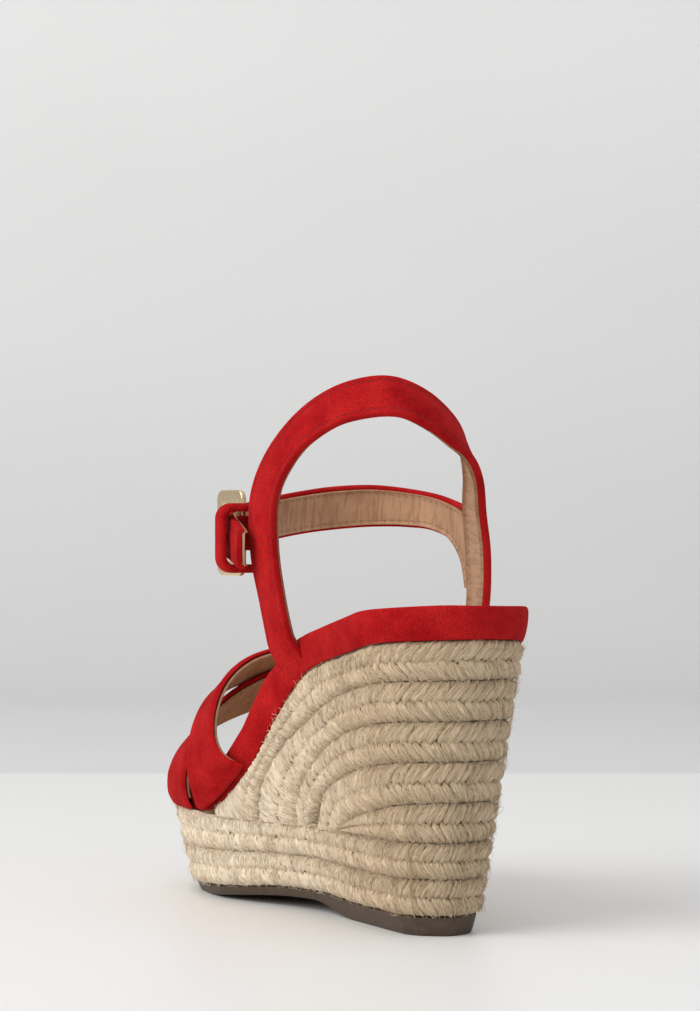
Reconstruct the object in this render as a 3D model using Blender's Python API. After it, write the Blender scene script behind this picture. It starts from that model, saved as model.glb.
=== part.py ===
"""Wedge espadrille sandal for the left foot, modelled piece by piece.

Sizes below are in millimetres and are turned into metres when a mesh is made.
X points to the inner side of the foot, Y from the heel to the toe, Z up. The sizes are
measured from the back of the heel; the finished pieces are moved so that the middle of
the footprint is at X = Y = 0.
"""
import math

import bmesh
import bpy
import numpy as np

MM = 0.001
COLLECTION = "wedge_sandal"

# ---- Driving dimensions (mm, from the back of the heel) ----
LENGTH = 212.0                    # footbed, heel to toe
CENTRE_X = 0.37                   # middle of the footprint, taken off every position
CENTRE_Y = 106.35
GAP = 0.3                         # clearance between neighbouring pieces

# Half-widths of the footbed at distances from the heel: outer side, then inner side.
OUTER_HALF = [(0, 0), (4, 13), (12, 22.5), (25, 27.5), (45, 28.5), (75, 29.5), (100, 33),
              (120, 37), (140, 39.8), (160, 39), (180, 33), (197, 22.5), (207, 10.5), (212, -7)]
INNER_HALF = [(0, 0), (4, 13), (12, 22.5), (25, 27.5), (45, 27.8), (75, 25.6), (100, 27.5),
              (120, 33), (140, 39), (160, 41), (180, 37.5), (197, 29.5), (207, 20), (212, 7)]

# Heights (mm) at distances from the heel.
PLATFORM_TOP = 29.4
WEDGE_TOP = [(0, 92.8), (16, 91.4), (30, 88.6), (50, 84.9), (68, 80.6), (79, 74.8), (89, 66.9),
             (109, 46.3), (124, 35.3), (136, 30.2), (148, PLATFORM_TOP), (LENGTH, PLATFORM_TOP)]
SOLE_TOP = [(0, 6.4), (58, 6.4), (85, 7.4), (100, 7.3), (135, 4.8), (165, 3.3), (LENGTH, 3.3)]
SOLE_BOTTOM = [(0, 0), (64, 0), (76, 1.2), (92, 4.0), (104, 3.8), (135, 1.4), (152, 0), (LENGTH, 0)]
LEAN_HEEL = math.radians(9.0)     # the sides draw in downwards by this angle at the heel
LEAN_TOE = math.radians(13.0)     # and by this one at the platform

LEDGE = [(0, 0), (95, 0), (140, 3.0), (LENGTH, 3.0)]  # platform proud of the footbed

# Jute braids: five wrap the heel and end on the platform, two run all the way round.
TOP_BRAID_END = 133.0
# Lines between the heel braids: distance of their end from the heel, and roundness.
BRAID_LINES = [(109.0, 1.85), (89.5, 2.0), (80.5, 1.9), (61.0, 1.5)]
BRAID_DEPTH = 3.5
BRAID_SHOULDER = 1.3              # how far the braid's round face falls back at its edges
HEEL_BRAIDS = 5
BRAID_TIP = 0.8                   # a heel braid stops this short of its line's end

# Footbed layers: heights above the wedge, square to its slope.
BOARD_TOP = 2.8
FOAM_TOP = 8.0
SOCK_TOP = 9.4
RAND_TOP = 10.6
RAND_INNER = 1.2
LAYER_INSET = 1.5

# Straps
SUEDE = 1.5
LINING = 0.9
LINING_MARGIN = 0.055             # share of the width that the lining stays back on each side

# Vamp arch, the inner face of the two crossing straps
ARCH_HEEL_Y = 121.0
ARCH_TOP = 83.0                   # height over the instep at ARCH_HEEL_Y
ARCH_FALL = 0.56                  # fall towards the toe, mm per mm
ARCH_POWER = 3.0                  # squareness of the arch
ARCH_CLEARANCE = [(0, 2.6), (150, 2.6), (176, 4.0)]  # arch outside the footbed outline
ARCH_TUCK = 1.4                   # and drawn back in at its feet, over this height:
ARCH_TUCK_HEIGHT = 10.0
OVER_LIFT = 3.4                   # how far the upper strap lies over the lower one
STRAP_FOOT = 0.5                  # feet of the straps above the jute
# Edges of each strap, as distance from the heel at shares of the way over the arch:
# outer foot, a quarter, middle, three quarters, inner foot.
OVER_REAR = [(0, 108), (0.09, 116), (0.22, 121), (0.5, 125), (0.75, 132), (0.9, 138), (1, 139)]
OVER_FRONT = [(0, 137), (0.1, 136), (0.2, 137), (0.35, 142), (0.5, 148), (0.75, 157), (1, 167)]
UNDER_REAR = [(0, 148), (0.1, 147), (0.25, 141), (0.5, 127), (0.75, 116), (0.9, 111), (1, 106)]
UNDER_FRONT = [(0, 174), (0.25, 164), (0.5, 151), (0.75, 140), (0.9, 136), (1, 135.5)]

# Ankle collar: pairs of edge points (front or upper edge, rear or lower edge), from the
# outer foot of the strap, round the back of the ankle, to the inner foot.
COLLAR = [
    ((-33.4, 80.5, 75.0), (-31.9, 66.5, 82.0)),
    ((-36.6, 87.0, 101.0), (-35.3, 72.0, 103.0)),
    ((-38.0, 93.0, 119.0), (-36.0, 77.0, 121.0)),
    ((-39.0, 90.0, 138.0), (-36.5, 74.5, 136.0)),
    ((-36.8, 78.0, 153.0), (-35.4, 65.5, 146.0)),
    ((-29.0, 62.0, 167.0), (-31.2, 55.5, 154.5)),
    ((-19.0, 50.5, 173.5), (-23.0, 44.3, 160.5)),
    ((-7.0, 44.9, 174.3), (-8.9, 36.2, 162.0)),
    ((4.0, 44.5, 169.5), (1.2, 35.0, 157.8)),
    ((14.2, 48.3, 161.5), (9.5, 37.2, 153.0)),
    ((21.5, 57.0, 153.0), (17.5, 43.5, 149.5)),
    ((27.4, 68.0, 144.5), (25.6, 53.5, 142.5)),
    ((31.8, 79.0, 134.0), (31.2, 63.5, 130.5)),
    ((35.0, 84.0, 118.0), (34.2, 67.0, 118.0)),
    ((35.6, 84.5, 102.0), (34.2, 68.0, 102.0)),
    ((31.0, 85.0, 76.5), (29.4, 69.5, 81.5)),
]

# Front strap: pairs of edge points (upper edge, lower edge), from its join with the inner
# leg of the collar, round the front of the ankle, through the buckle to the tip.
FRONT_STRAP = [
    ((33.4, 82.7, 133.4), (37.2, 88.0, 104.0)),
    ((34.6, 88.4, 133.8), (37.8, 94.0, 114.5)),
    ((34.2, 94.5, 135.2), (36.0, 99.5, 121.5)),
    ((31.4, 103.0, 137.5), (32.0, 106.5, 125.3)),
    ((25.6, 112.5, 139.4), (26.5, 115.5, 126.6)),
    ((14.6, 120.0, 140.8), (15.4, 123.8, 126.8)),
    ((0.7, 122.5, 140.2), (1.2, 126.5, 125.7)),
    ((-9.8, 120.8, 138.9), (-9.6, 124.0, 124.5)),
    ((-20.0, 118.2, 137.3), (-20.5, 120.4, 122.7)),
    ((-29.0, 116.0, 135.6), (-29.5, 117.4, 120.8)),
    ((-36.4, 112.8, 134.0), (-36.6, 113.4, 119.3)),
    ((-41.2, 107.4, 132.6), (-41.2, 107.6, 117.9)),
    ((-42.9, 101.5, 131.1), (-42.9, 101.5, 116.6)),
    ((-43.5, 95.5, 129.4), (-43.5, 95.4, 115.4)),
    ((-43.9, 90.0, 127.2), (-43.9, 90.0, 114.6)),
    ((-44.2, 86.6, 124.8), (-44.2, 86.6, 116.2)),
]
HOLE_SHARES = [0.685, 0.83, 0.90]  # plain punched holes, as shares of the front strap
HOLE_RADIUS = 1.3

# Buckle: its own axes start at the bar that its tab folds round. Local X runs along the
# frame towards the toe, local Y away from the ankle, local Z up.
BAR_POSITION = (-37.9, 104.5, 124.9)
BUCKLE_HEADING = math.radians(103.0)
FRAME_BACK = -1.1
FRAME_FRONT = 14.8
FRAME_HALF_HEIGHT = 14.3
FRAME_CORNER = 3.2
WINDOW_BACK = 0.9
WINDOW_FRONT = 11.8
WINDOW_HALF_HEIGHT = 9.4
WINDOW_CORNER = 1.6
FRAME_THICKNESS = 1.8
FRAME_ROUNDING = 0.3
PRONG_RADIUS = 0.62
PRONG_LOOP = 2.0                  # radius of the prong's eye round the bar, to the wire's middle
PRONG_LENGTH = 14.6
TAB_BORE = 1.6
TAB_WALL = 1.0
TAB_START_Y = 94.2
TAB_HALF_HEIGHT = 5.7
TAB_SLOT_HALF = 1.2
PRONG_SLOT_X = 4.0                # middle of the strap's slot for the prong
PRONG_SLOT_LENGTH = 7.0
PRONG_SLOT_RADIUS = 1.35

# Keeper loop round the tab and the strap
KEEPER_CENTRE = (-40.1, 98.1, 123.3)
KEEPER_WIDTH = 6.2
KEEPER_HALF = (8.0, 10.6)         # outside, across the strap and up
KEEPER_WALL = 1.9
KEEPER_CORNER = 4.3

# Mesh density
RING_STEPS = 30                   # even steps on each side of a full outline
TIP_STEPS = [BRAID_TIP, 2.5, 5.5, 10.0]  # further steps before a braid's end
STRAP_ACROSS = 3
VAMP_ACROSS = 5


# ---- Curves ----
def profile(points):
    """A smooth height or width along X that never overshoots its points."""
    xs, ys = np.array(points, dtype=float).T
    step = np.diff(xs)
    slope = np.diff(ys) / step
    tangent = np.zeros_like(ys)
    tangent[0], tangent[-1] = slope[0], slope[-1]
    for i in range(1, len(xs) - 1):
        if slope[i - 1] * slope[i] > 0:
            near = 2 * step[i] + step[i - 1]
            far = step[i] + 2 * step[i - 1]
            tangent[i] = (near + far) / (near / slope[i - 1] + far / slope[i])

    def value(x):
        x = np.clip(np.asarray(x, dtype=float), xs[0], xs[-1])
        i = np.clip(np.searchsorted(xs, x, side="right") - 1, 0, len(step) - 1)
        t = (x - xs[i]) / step[i]
        start = (1 + 2 * t) * (1 - t) ** 2 * ys[i] + t * (1 - t) ** 2 * step[i] * tangent[i]
        end = t * t * (3 - 2 * t) * ys[i + 1] + t * t * (t - 1) * step[i] * tangent[i + 1]
        return start + end

    return value


def smooth_stations(stations, count):
    """The stations (n, edges, 3) resampled to count steps on curves through every one."""
    stations = np.array(stations, dtype=float)
    middle = stations.mean(axis=1)
    knots = np.concatenate([[0], np.cumsum(np.linalg.norm(np.diff(middle, axis=0), axis=1))])
    tangent = np.gradient(stations, knots, axis=0)
    spots = np.linspace(0, knots[-1], count)
    i = np.clip(np.searchsorted(knots, spots, side="right") - 1, 0, len(knots) - 2)
    step = (knots[i + 1] - knots[i])[:, None, None]
    t = ((spots - knots[i])[:, None, None]) / step
    start = (1 + 2 * t) * (1 - t) ** 2 * stations[i] + t * (1 - t) ** 2 * step * tangent[i]
    end = t * t * (3 - 2 * t) * stations[i + 1] + t * t * (t - 1) * step * tangent[i + 1]
    return start + end


wedge_top = profile(WEDGE_TOP)
sole_top = profile(SOLE_TOP)
sole_bottom = profile(SOLE_BOTTOM)
ledge = profile(LEDGE)
arch_clearance = profile(ARCH_CLEARANCE)
lean = profile([(0, math.tan(LEAN_HEEL)), (60, math.tan(LEAN_HEEL)), (140, math.tan(LEAN_TOE)),
                (LENGTH, math.tan(LEAN_TOE))])


def angle_at(y):
    """The outline's angle, 0 at the heel and pi at the toe, for a distance from the heel."""
    return math.acos(1 - 2 * y / LENGTH)


def ring_angles():
    """The outline's stations all the way round, shared by every layer of the sole."""
    ends = [TOP_BRAID_END] + [end for end, _ in BRAID_LINES]
    half = np.linspace(0, math.pi, RING_STEPS + 1)
    for angle in [angle_at(end - step) for end in ends for step in TIP_STEPS]:
        near = np.abs(half - angle) < 0.03
        half = np.sort(np.append(half[~near], angle))
    return np.concatenate([half, -half[-2:0:-1]])


outer_half = profile([(angle_at(y), width) for y, width in OUTER_HALF])
inner_half = profile([(angle_at(y), width) for y, width in INNER_HALF])


def outline(angle, inset):
    """Points of the footbed outline, drawn in by inset. Positive angles are the outer side."""
    def point(a):
        a = (a + math.pi) % (2 * math.pi) - math.pi
        x = np.where(a >= 0, -outer_half(np.abs(a)), inner_half(np.abs(a)))
        return np.stack([x, LENGTH / 2 * (1 - np.cos(a))], axis=-1)

    angle = np.asarray(angle, dtype=float)
    tangent = point(angle + 0.02) - point(angle - 0.02)
    tangent /= np.linalg.norm(tangent, axis=-1, keepdims=True)
    inward = np.stack([tangent[..., 1], -tangent[..., 0]], axis=-1)
    return point(angle) + inward * np.asarray(inset, dtype=float)[..., None]


def wall(angle, height, depth):
    """Points on the leaning side of the shoe at a height, sunk in by depth."""
    base = outline(angle, np.zeros_like(angle))[..., 1]
    inset = (wedge_top(base) - height) * lean(base) + depth
    return np.concatenate([outline(angle, inset), np.asarray(height)[..., None]], axis=-1)


def sole_ring(angles, height, depth):
    """Points round the sole, sunk in by depth, where height gives their Z from their Y."""
    flat = outline(angles, np.zeros_like(angles))[:, 1]
    ring = wall(angles, height(flat), depth - ledge(flat))
    ring[:, 2] = height(ring[:, 1])
    return ring


def above_wedge(y, thickness):
    """Height of a layer that lies square on the wedge's sloping top."""
    slope = (wedge_top(y + 0.5) - wedge_top(y - 0.5))
    return wedge_top(y) + thickness * np.sqrt(1 + slope * slope)


def footbed_ring(angles, thickness, depth):
    """Points round the footbed, sunk in by depth, at a distance from the wedge's top."""
    flat = outline(angles, np.zeros_like(angles))[:, 1]
    ring = wall(angles, wedge_top(flat) + thickness, depth)
    ring[:, 2] = above_wedge(ring[:, 1], thickness)
    return ring


# ---- Mesh helpers ----
def material(name, colour, roughness, metallic=0.0):
    made = bpy.data.materials.new(name)
    made.use_nodes = True
    shader = made.node_tree.nodes["Principled BSDF"]
    shader.inputs["Base Color"].default_value = (*colour, 1.0)
    shader.inputs["Roughness"].default_value = roughness
    shader.inputs["Metallic"].default_value = metallic
    return made


def centred(points):
    """Shoe positions in mm turned into metres round the middle of the footprint."""
    return (np.asarray(points, dtype=float) - (CENTRE_X, CENTRE_Y, 0.0)) * MM


def add_object(name, data, finish, collection=COLLECTION):
    made = bpy.data.objects.new(name, data)
    data.materials.append(finish)
    bpy.data.collections[collection].objects.link(made)
    return made


def add_mesh(name, points, faces, finish, smooth=True):
    """A mesh from shoe positions, with its faces turned outwards."""
    data = bpy.data.meshes.new(name)
    data.from_pydata([tuple(p) for p in centred(points)], [], faces)
    shape = bmesh.new()
    shape.from_mesh(data)
    bmesh.ops.recalc_face_normals(shape, faces=shape.faces)
    shape.to_mesh(data)
    shape.free()
    if smooth:
        data.shade_smooth()
        data.set_sharp_from_angle(angle=math.radians(40))
    return add_object(name, data, finish)


def loft(name, rings, finish, closed):
    """Joins equal rings of points into one solid, round in a circle or with flat ends."""
    count, size = len(rings), len(rings[0])
    points = np.concatenate(rings)
    faces = []
    for i in range(count if closed else count - 1):
        here, there = i * size, (i + 1) % count * size
        for j in range(size):
            k = (j + 1) % size
            faces.append((here + j, here + k, there + k, there + j))
    if not closed:
        faces.append(tuple(range(size)))
        faces.append(tuple(range((count - 1) * size, count * size)))
    return add_mesh(name, points, faces, finish)


def slab(name, low, high, finish):
    """A layer of the shoe between a lower and an upper ring of points."""
    size = len(low)
    faces = [(i, (i + 1) % size, (i + 1) % size + size, i + size) for i in range(size)]
    for start in (0, size):
        for i in range(size // 2):
            strip = [i, i + 1, (size - i - 1) % size, (size - i) % size]
            strip = list(dict.fromkeys(strip))
            faces.append(tuple(start + corner for corner in strip))
    return add_mesh(name, np.concatenate([low, high]), faces, finish)


def shifted(grid, distance, centre):
    """A grid of points moved along its normals, away from the centre point."""
    along = np.gradient(grid, axis=0)
    across = np.gradient(grid, axis=1)
    normal = np.cross(along, across)
    normal /= np.linalg.norm(normal, axis=-1, keepdims=True)
    if np.sum(normal * (grid - centre)) < 0:
        normal = -normal
    return grid + normal * distance


def across_strap(edges, columns, margin):
    """Fills in the columns of points between the two edges of a strap."""
    shares = np.linspace(margin, 1 - margin, columns)[None, :, None]
    return edges[:, :1] * (1 - shares) + edges[:, 1:] * shares


def sheet_solid(name, grid, inner, outer, centre, finish):
    """A bent sheet between two distances from its grid, measured away from the centre."""
    low, high = shifted(grid, inner, centre), shifted(grid, outer, centre)
    rings = [np.concatenate([a, b[::-1]]) for a, b in zip(low, high)]
    size, columns = len(rings[0]), grid.shape[1]
    count = len(rings)
    faces = []
    for i in range(count - 1):
        for j in range(size):
            k = (j + 1) % size
            faces.append((i * size + j, i * size + k, (i + 1) * size + k, (i + 1) * size + j))
    for start in (0, (count - 1) * size):
        for j in range(columns - 1):
            other = size - 1 - j
            faces.append((start + j, start + j + 1, start + other - 1, start + other))
    return add_mesh(name, np.concatenate(rings), faces, finish)


def rounded_rectangle(low, high, corner, steps=4):
    """Corner points of a rectangle with round corners, in order."""
    centres = [(high[0] - corner, high[1] - corner, 0), (low[0] + corner, high[1] - corner, 90),
               (low[0] + corner, low[1] + corner, 180), (high[0] - corner, low[1] + corner, 270)]
    points = []
    for x, y, start in centres:
        for step in range(steps + 1):
            turn = math.radians(start + 90 * step / steps)
            points.append((x + corner * math.cos(turn), y + corner * math.sin(turn)))
    return points


def flat_shape(name, outlines, half_thickness, rounding, finish):
    """A flat piece with holes: closed 2D outlines, extruded both ways and rounded."""
    data = bpy.data.curves.new(name, "CURVE")
    data.dimensions = "2D"
    data.fill_mode = "BOTH"
    data.extrude = (half_thickness - rounding) * MM
    data.bevel_depth = rounding * MM
    data.bevel_resolution = 0
    data.offset = -rounding * MM
    for points in outlines:
        spline = data.splines.new("POLY")
        spline.points.add(len(points) - 1)
        spline.use_cyclic_u = True
        for point, (x, y) in zip(spline.points, points):
            point.co = (x * MM, y * MM, 0.0, 1.0)
    return add_object(name, data, finish)


def as_mesh(made):
    """The object's evaluated shape as a plain mesh object in the same place."""
    bpy.context.view_layer.update()
    evaluated = made.evaluated_get(bpy.context.evaluated_depsgraph_get())
    data = bpy.data.meshes.new_from_object(evaluated)
    shape = bmesh.new()
    shape.from_mesh(data)
    bmesh.ops.remove_doubles(shape, verts=shape.verts, dist=1e-6)
    bmesh.ops.recalc_face_normals(shape, faces=shape.faces)
    shape.to_mesh(data)
    shape.free()
    name, collection = made.name, made.users_collection[0]
    placed = made.matrix_world.copy()
    bpy.data.objects.remove(made)
    solid = bpy.data.objects.new(name, data)
    solid.matrix_world = placed
    collection.objects.link(solid)
    return solid


def cut(made, cutter):
    """Takes the cutter's shape out of the object with a Boolean modifier."""
    knife = made.modifiers.new("cut", "BOOLEAN")
    knife.operation = "DIFFERENCE"
    knife.solver = "EXACT"
    knife.object = cutter


def add_cutter(name, outlines, half_thickness, position, turn):
    """A flat-sided cutter, kept out of the model in the cutters' collection."""
    cutter = flat_shape(name, outlines, half_thickness, 0.0, bpy.data.materials["cutter"])
    cutter.location = centred(position)
    cutter.rotation_euler = turn
    cutter = as_mesh(cutter)
    bpy.data.collections[COLLECTION].objects.unlink(cutter)
    bpy.data.collections["cutters"].objects.link(cutter)
    cutter.hide_render = True
    cutter.display_type = "WIRE"
    return cutter


# ---- Sole ----
def braid_line(index):
    """Height of the line under the given number of heel braids, along the shoe."""
    if index == 0:
        return wedge_top
    if index == HEEL_BRAIDS:
        return platform_line
    start = (WEDGE_TOP[0][1] - PLATFORM_TOP) * (1 - index / HEEL_BRAIDS)
    end, power = BRAID_LINES[index - 1]

    def height(y):
        fall = np.clip(1 - (y / end) ** power, 0.0, 1.0)
        return PLATFORM_TOP + start * fall ** (1 / power)

    return height


def middle_line(y):
    """The line between the two braids of the platform."""
    return (PLATFORM_TOP + sole_top(y)) / 2


def platform_line(y):
    return np.full_like(y, PLATFORM_TOP)


def braid_rings(angles, high, low):
    """Sections of a jute braid: flat at the core, round outside."""
    def height(y, share):
        top, bottom = high(y) - GAP / 2, low(y) + GAP / 2
        return top + (bottom - top) * share

    section = [(0.0, BRAID_DEPTH), (0.0, BRAID_SHOULDER), (0.22, 0.25), (0.5, 0.0),
               (0.78, 0.25), (1.0, BRAID_SHOULDER), (1.0, BRAID_DEPTH)]
    columns = [sole_ring(angles, lambda y: height(y, share), depth) for share, depth in section]
    return list(np.stack(columns, axis=1))


def build_sole(rubber, cork, jute):
    around = ring_angles()
    slab("outsole", sole_ring(around, sole_bottom, 1.9),
         sole_ring(around, lambda y: sole_top(y) - GAP, 1.3), rubber)
    depth = BRAID_DEPTH + 2 * GAP
    slab("wedge_core", sole_ring(around, sole_top, depth), sole_ring(around, wedge_top, depth),
         cork)
    for index in range(1, HEEL_BRAIDS + 1):
        end = TOP_BRAID_END if index == 1 else BRAID_LINES[index - 2][0]
        angles = np.sort(around)
        angles = angles[np.abs(angles) < angle_at(end - BRAID_TIP) + 1e-6]
        rings = braid_rings(angles, braid_line(index - 1), braid_line(index))
        loft(f"jute_braid_{index}", rings, jute, closed=False)
    loft("jute_braid_6", braid_rings(around, platform_line, middle_line), jute, closed=True)
    loft("jute_braid_7", braid_rings(around, middle_line, sole_top), jute, closed=True)


def build_footbed(board, foam, leather, suede):
    around = ring_angles()
    layers = [("insole_board", GAP, BOARD_TOP, board),
              ("foam_pad", BOARD_TOP + GAP, FOAM_TOP, foam),
              ("sock_lining", FOAM_TOP + GAP, SOCK_TOP, leather)]
    for name, low, high, finish in layers:
        slab(name, footbed_ring(around, low, LAYER_INSET), footbed_ring(around, high, LAYER_INSET),
             finish)
    section = [(RAND_INNER, GAP), (0.0, GAP), (-0.2, 4.5), (0.0, RAND_TOP - 0.9),
               (0.6, RAND_TOP), (RAND_INNER, RAND_TOP - 0.3)]
    columns = [footbed_ring(around, height, depth) for depth, height in section]
    loft("footbed_rand", list(np.stack(columns, axis=1)), suede, closed=True)


# ---- Vamp ----
def arch_points(y, share):
    """A point of the vamp arch: share 0 is its outer foot, 0.5 its top, 1 its inner foot."""
    angle = angle_at(y)
    left = -(float(outer_half(angle)) + float(arch_clearance(y)))
    right = float(inner_half(angle)) + float(arch_clearance(y))
    foot = float(wedge_top(y)) + STRAP_FOOT
    top = ARCH_TOP - ARCH_FALL * (y - ARCH_HEEL_Y)
    turn = np.linspace(-math.pi / 2, math.pi / 2, 121)
    power = 2 / ARCH_POWER
    x = (left + right) / 2 + (right - left) / 2 * np.sign(turn) * np.abs(np.sin(turn)) ** power
    z = foot + (top - foot) * np.abs(np.cos(turn)) ** power
    tuck = ARCH_TUCK * np.clip(1 - (z - foot) / ARCH_TUCK_HEIGHT, 0, 1)
    x -= np.sign(turn) * tuck
    run = np.concatenate([[0], np.cumsum(np.hypot(np.diff(x), np.diff(z)))])
    spot = share * run[-1]
    return np.array([np.interp(spot, run, x), y, np.interp(spot, run, z)])


def vamp_grid(rear, front, columns, steps, margin):
    rear, front = profile(rear), profile(front)
    rows = []
    for share in np.linspace(0, 1, steps):
        low, high = float(rear(share)), float(front(share))
        spread = np.linspace(margin, 1 - margin, columns)
        rows.append([arch_points(low + (high - low) * part, share) for part in spread])
    return np.array(rows)


def build_vamp(suede, leather):
    steps = 33
    centre = np.array([0.0, 140.0, 20.0])
    share = np.linspace(0, 1, steps)
    ramp = np.clip(np.minimum(share, 1 - share) / 0.13, 0, 1)
    lift = OVER_LIFT * ramp * ramp * (3 - 2 * ramp)
    for name, rear, front, raised in (("under", UNDER_REAR, UNDER_FRONT, False),
                                      ("over", OVER_REAR, OVER_FRONT, True)):
        rise = lift[:, None, None] if raised else 0.0
        grid = vamp_grid(rear, front, VAMP_ACROSS, steps, 0.0)
        inner = GAP + LINING + GAP
        sheet_solid(f"vamp_strap_{name}", grid, rise + inner, rise + inner + SUEDE, centre, suede)
        grid = vamp_grid(rear, front, VAMP_ACROSS, steps, LINING_MARGIN)
        sheet_solid(f"vamp_{name}_lining", grid, rise + GAP, rise + GAP + LINING, centre, leather)


# ---- Ankle straps ----
def build_collar(suede, leather):
    edges = smooth_stations(COLLAR, 46)
    centre = np.array([-2.0, 82.0, 120.0])
    sheet_solid("ankle_collar", across_strap(edges, STRAP_ACROSS, 0.0), GAP / 2,
                GAP / 2 + SUEDE, centre, suede)
    sheet_solid("ankle_collar_lining", across_strap(edges, STRAP_ACROSS, LINING_MARGIN),
                -GAP / 2 - LINING, -GAP / 2, centre, leather)


def strap_hole(name, place, outward, outlines):
    """A cutter that goes square through the front strap at a place."""
    heading = math.atan2(outward[1], outward[0]) + math.pi / 2
    return add_cutter(name, outlines, 4.0, place, (math.pi / 2, 0.0, heading))


def build_front_strap(suede, leather):
    edges = smooth_stations(FRONT_STRAP, 46)
    centre = np.array([-2.0, 92.0, 128.0])
    strap = sheet_solid("front_strap", across_strap(edges, STRAP_ACROSS, 0.0), GAP / 2,
                        GAP / 2 + SUEDE, centre, suede)
    lining = sheet_solid("front_strap_lining", across_strap(edges, STRAP_ACROSS, LINING_MARGIN),
                         -GAP / 2 - LINING, -GAP / 2, centre, leather)
    middle = smooth_stations(FRONT_STRAP, 201).mean(axis=1)
    run = np.gradient(middle, axis=0)
    outward = np.stack([run[:, 1], -run[:, 0]], axis=1)
    outward = np.where(np.sum(outward * (middle - centre)[:, :2], axis=1)[:, None] < 0,
                       -outward, outward)
    circle = [(HOLE_RADIUS * math.cos(math.radians(a)), HOLE_RADIUS * math.sin(math.radians(a)))
              for a in range(0, 360, 30)]
    cutters = []
    for number, share in enumerate(HOLE_SHARES, 1):
        spot = round(share * 200)
        cutters.append(strap_hole(f"hole_{number}", middle[spot], outward[spot], [circle]))
    target = buckle_place(PRONG_SLOT_X, 2.2)
    spot = int(np.argmin(np.linalg.norm((middle - target)[:, :2], axis=1)))
    half = (PRONG_SLOT_LENGTH / 2, PRONG_SLOT_RADIUS)
    slot = rounded_rectangle((-half[0], -half[1]), half, PRONG_SLOT_RADIUS - 0.01, 3)
    place = np.array([*middle[spot][:2], BAR_POSITION[2]])
    cutters.append(strap_hole("prong_slot", place, outward[spot], [slot]))
    for cutter in cutters:
        cut(strap, cutter)
        cut(lining, cutter)


# ---- Buckle ----
def buckle_place(forward, outward, up=0.0):
    """A shoe position from the buckle's own axes."""
    c, s = math.cos(BUCKLE_HEADING), math.sin(BUCKLE_HEADING)
    x, y, z = BAR_POSITION
    return np.array([x + forward * c - outward * s, y + forward * s + outward * c, z + up])


def build_frame(gold):
    outer = rounded_rectangle((FRAME_BACK, -FRAME_HALF_HEIGHT), (FRAME_FRONT, FRAME_HALF_HEIGHT),
                              FRAME_CORNER)
    window = rounded_rectangle((WINDOW_BACK, -WINDOW_HALF_HEIGHT),
                               (WINDOW_FRONT, WINDOW_HALF_HEIGHT), WINDOW_CORNER, 3)
    frame = flat_shape("buckle_frame", [outer, window], FRAME_THICKNESS / 2, FRAME_ROUNDING, gold)
    frame.location = centred(BAR_POSITION)
    frame.rotation_euler = (math.pi / 2, 0.0, BUCKLE_HEADING)


def build_prong(gold):
    """A wire that hooks round the bar and rests on the far side of the frame."""
    points = [(PRONG_LOOP * math.cos(math.radians(a)), PRONG_LOOP * math.sin(math.radians(a)))
              for a in range(390, 89, -20)]
    rest = FRAME_THICKNESS / 2 + PRONG_RADIUS + 0.12
    points += [(2.5, PRONG_LOOP + 0.05), (7.0, 2.15), (11.5, rest + 0.1), (PRONG_LENGTH, rest)]
    data = bpy.data.curves.new("buckle_prong", "CURVE")
    data.dimensions = "3D"
    data.bevel_depth = PRONG_RADIUS * MM
    data.bevel_resolution = 2
    data.use_fill_caps = True
    spline = data.splines.new("POLY")
    spline.points.add(len(points) - 1)
    for point, (x, y) in zip(spline.points, points):
        point.co = (x * MM, y * MM, 0.0, 1.0)
    prong = add_object("buckle_prong", data, gold)
    prong.location = centred(BAR_POSITION)
    prong.rotation_euler = (0.0, 0.0, BUCKLE_HEADING)


def build_tab(suede):
    """The strap end that folds round the buckle's bar, with a slot for the prong's eye."""
    outer, bore = TAB_BORE + TAB_WALL, TAB_BORE
    length = (BAR_POSITION[1] - TAB_START_Y) / math.sin(BUCKLE_HEADING)
    around = [(outer * math.cos(math.radians(a)), outer * math.sin(math.radians(a)))
              for a in range(-110, 111, 20)]
    outlines = [[(-length, TAB_WALL + 0.2)] + [(-4.4, TAB_WALL + 0.4)] + around[::-1]
                + [(-4.4, -TAB_WALL - 0.4)] + [(-length, -TAB_WALL - 0.2)],
                [(bore * math.cos(math.radians(a)), bore * math.sin(math.radians(a)))
                 for a in range(0, 360, 30)]]
    tab = flat_shape("buckle_tab", outlines, TAB_HALF_HEIGHT, 0.0, suede)
    tab.location = centred(BAR_POSITION)
    tab.rotation_euler = (0.0, 0.0, BUCKLE_HEADING)
    tab = as_mesh(tab)
    window = rounded_rectangle((-3.4, -5.0), (5.0, 5.0), 0.5, 1)
    cut(tab, add_cutter("tab_slot", [window], TAB_SLOT_HALF, BAR_POSITION,
                        (0.0, 0.0, BUCKLE_HEADING)))


def build_keeper(suede):
    outer = rounded_rectangle((-KEEPER_HALF[0], -KEEPER_HALF[1]), KEEPER_HALF, KEEPER_CORNER)
    inside = [half - KEEPER_WALL for half in KEEPER_HALF]
    hole = rounded_rectangle((-inside[0], -inside[1]), inside, KEEPER_CORNER - KEEPER_WALL)
    keeper = flat_shape("keeper_loop", [outer, hole], KEEPER_WIDTH / 2, 0.4, suede)
    keeper.location = centred(KEEPER_CENTRE)
    keeper.rotation_euler = (math.pi / 2, 0.0, 0.0)


def clear_scene():
    for made in list(bpy.data.objects):
        bpy.data.objects.remove(made)
    for name in (COLLECTION, "cutters"):
        bpy.context.scene.collection.children.link(bpy.data.collections.new(name))


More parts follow.
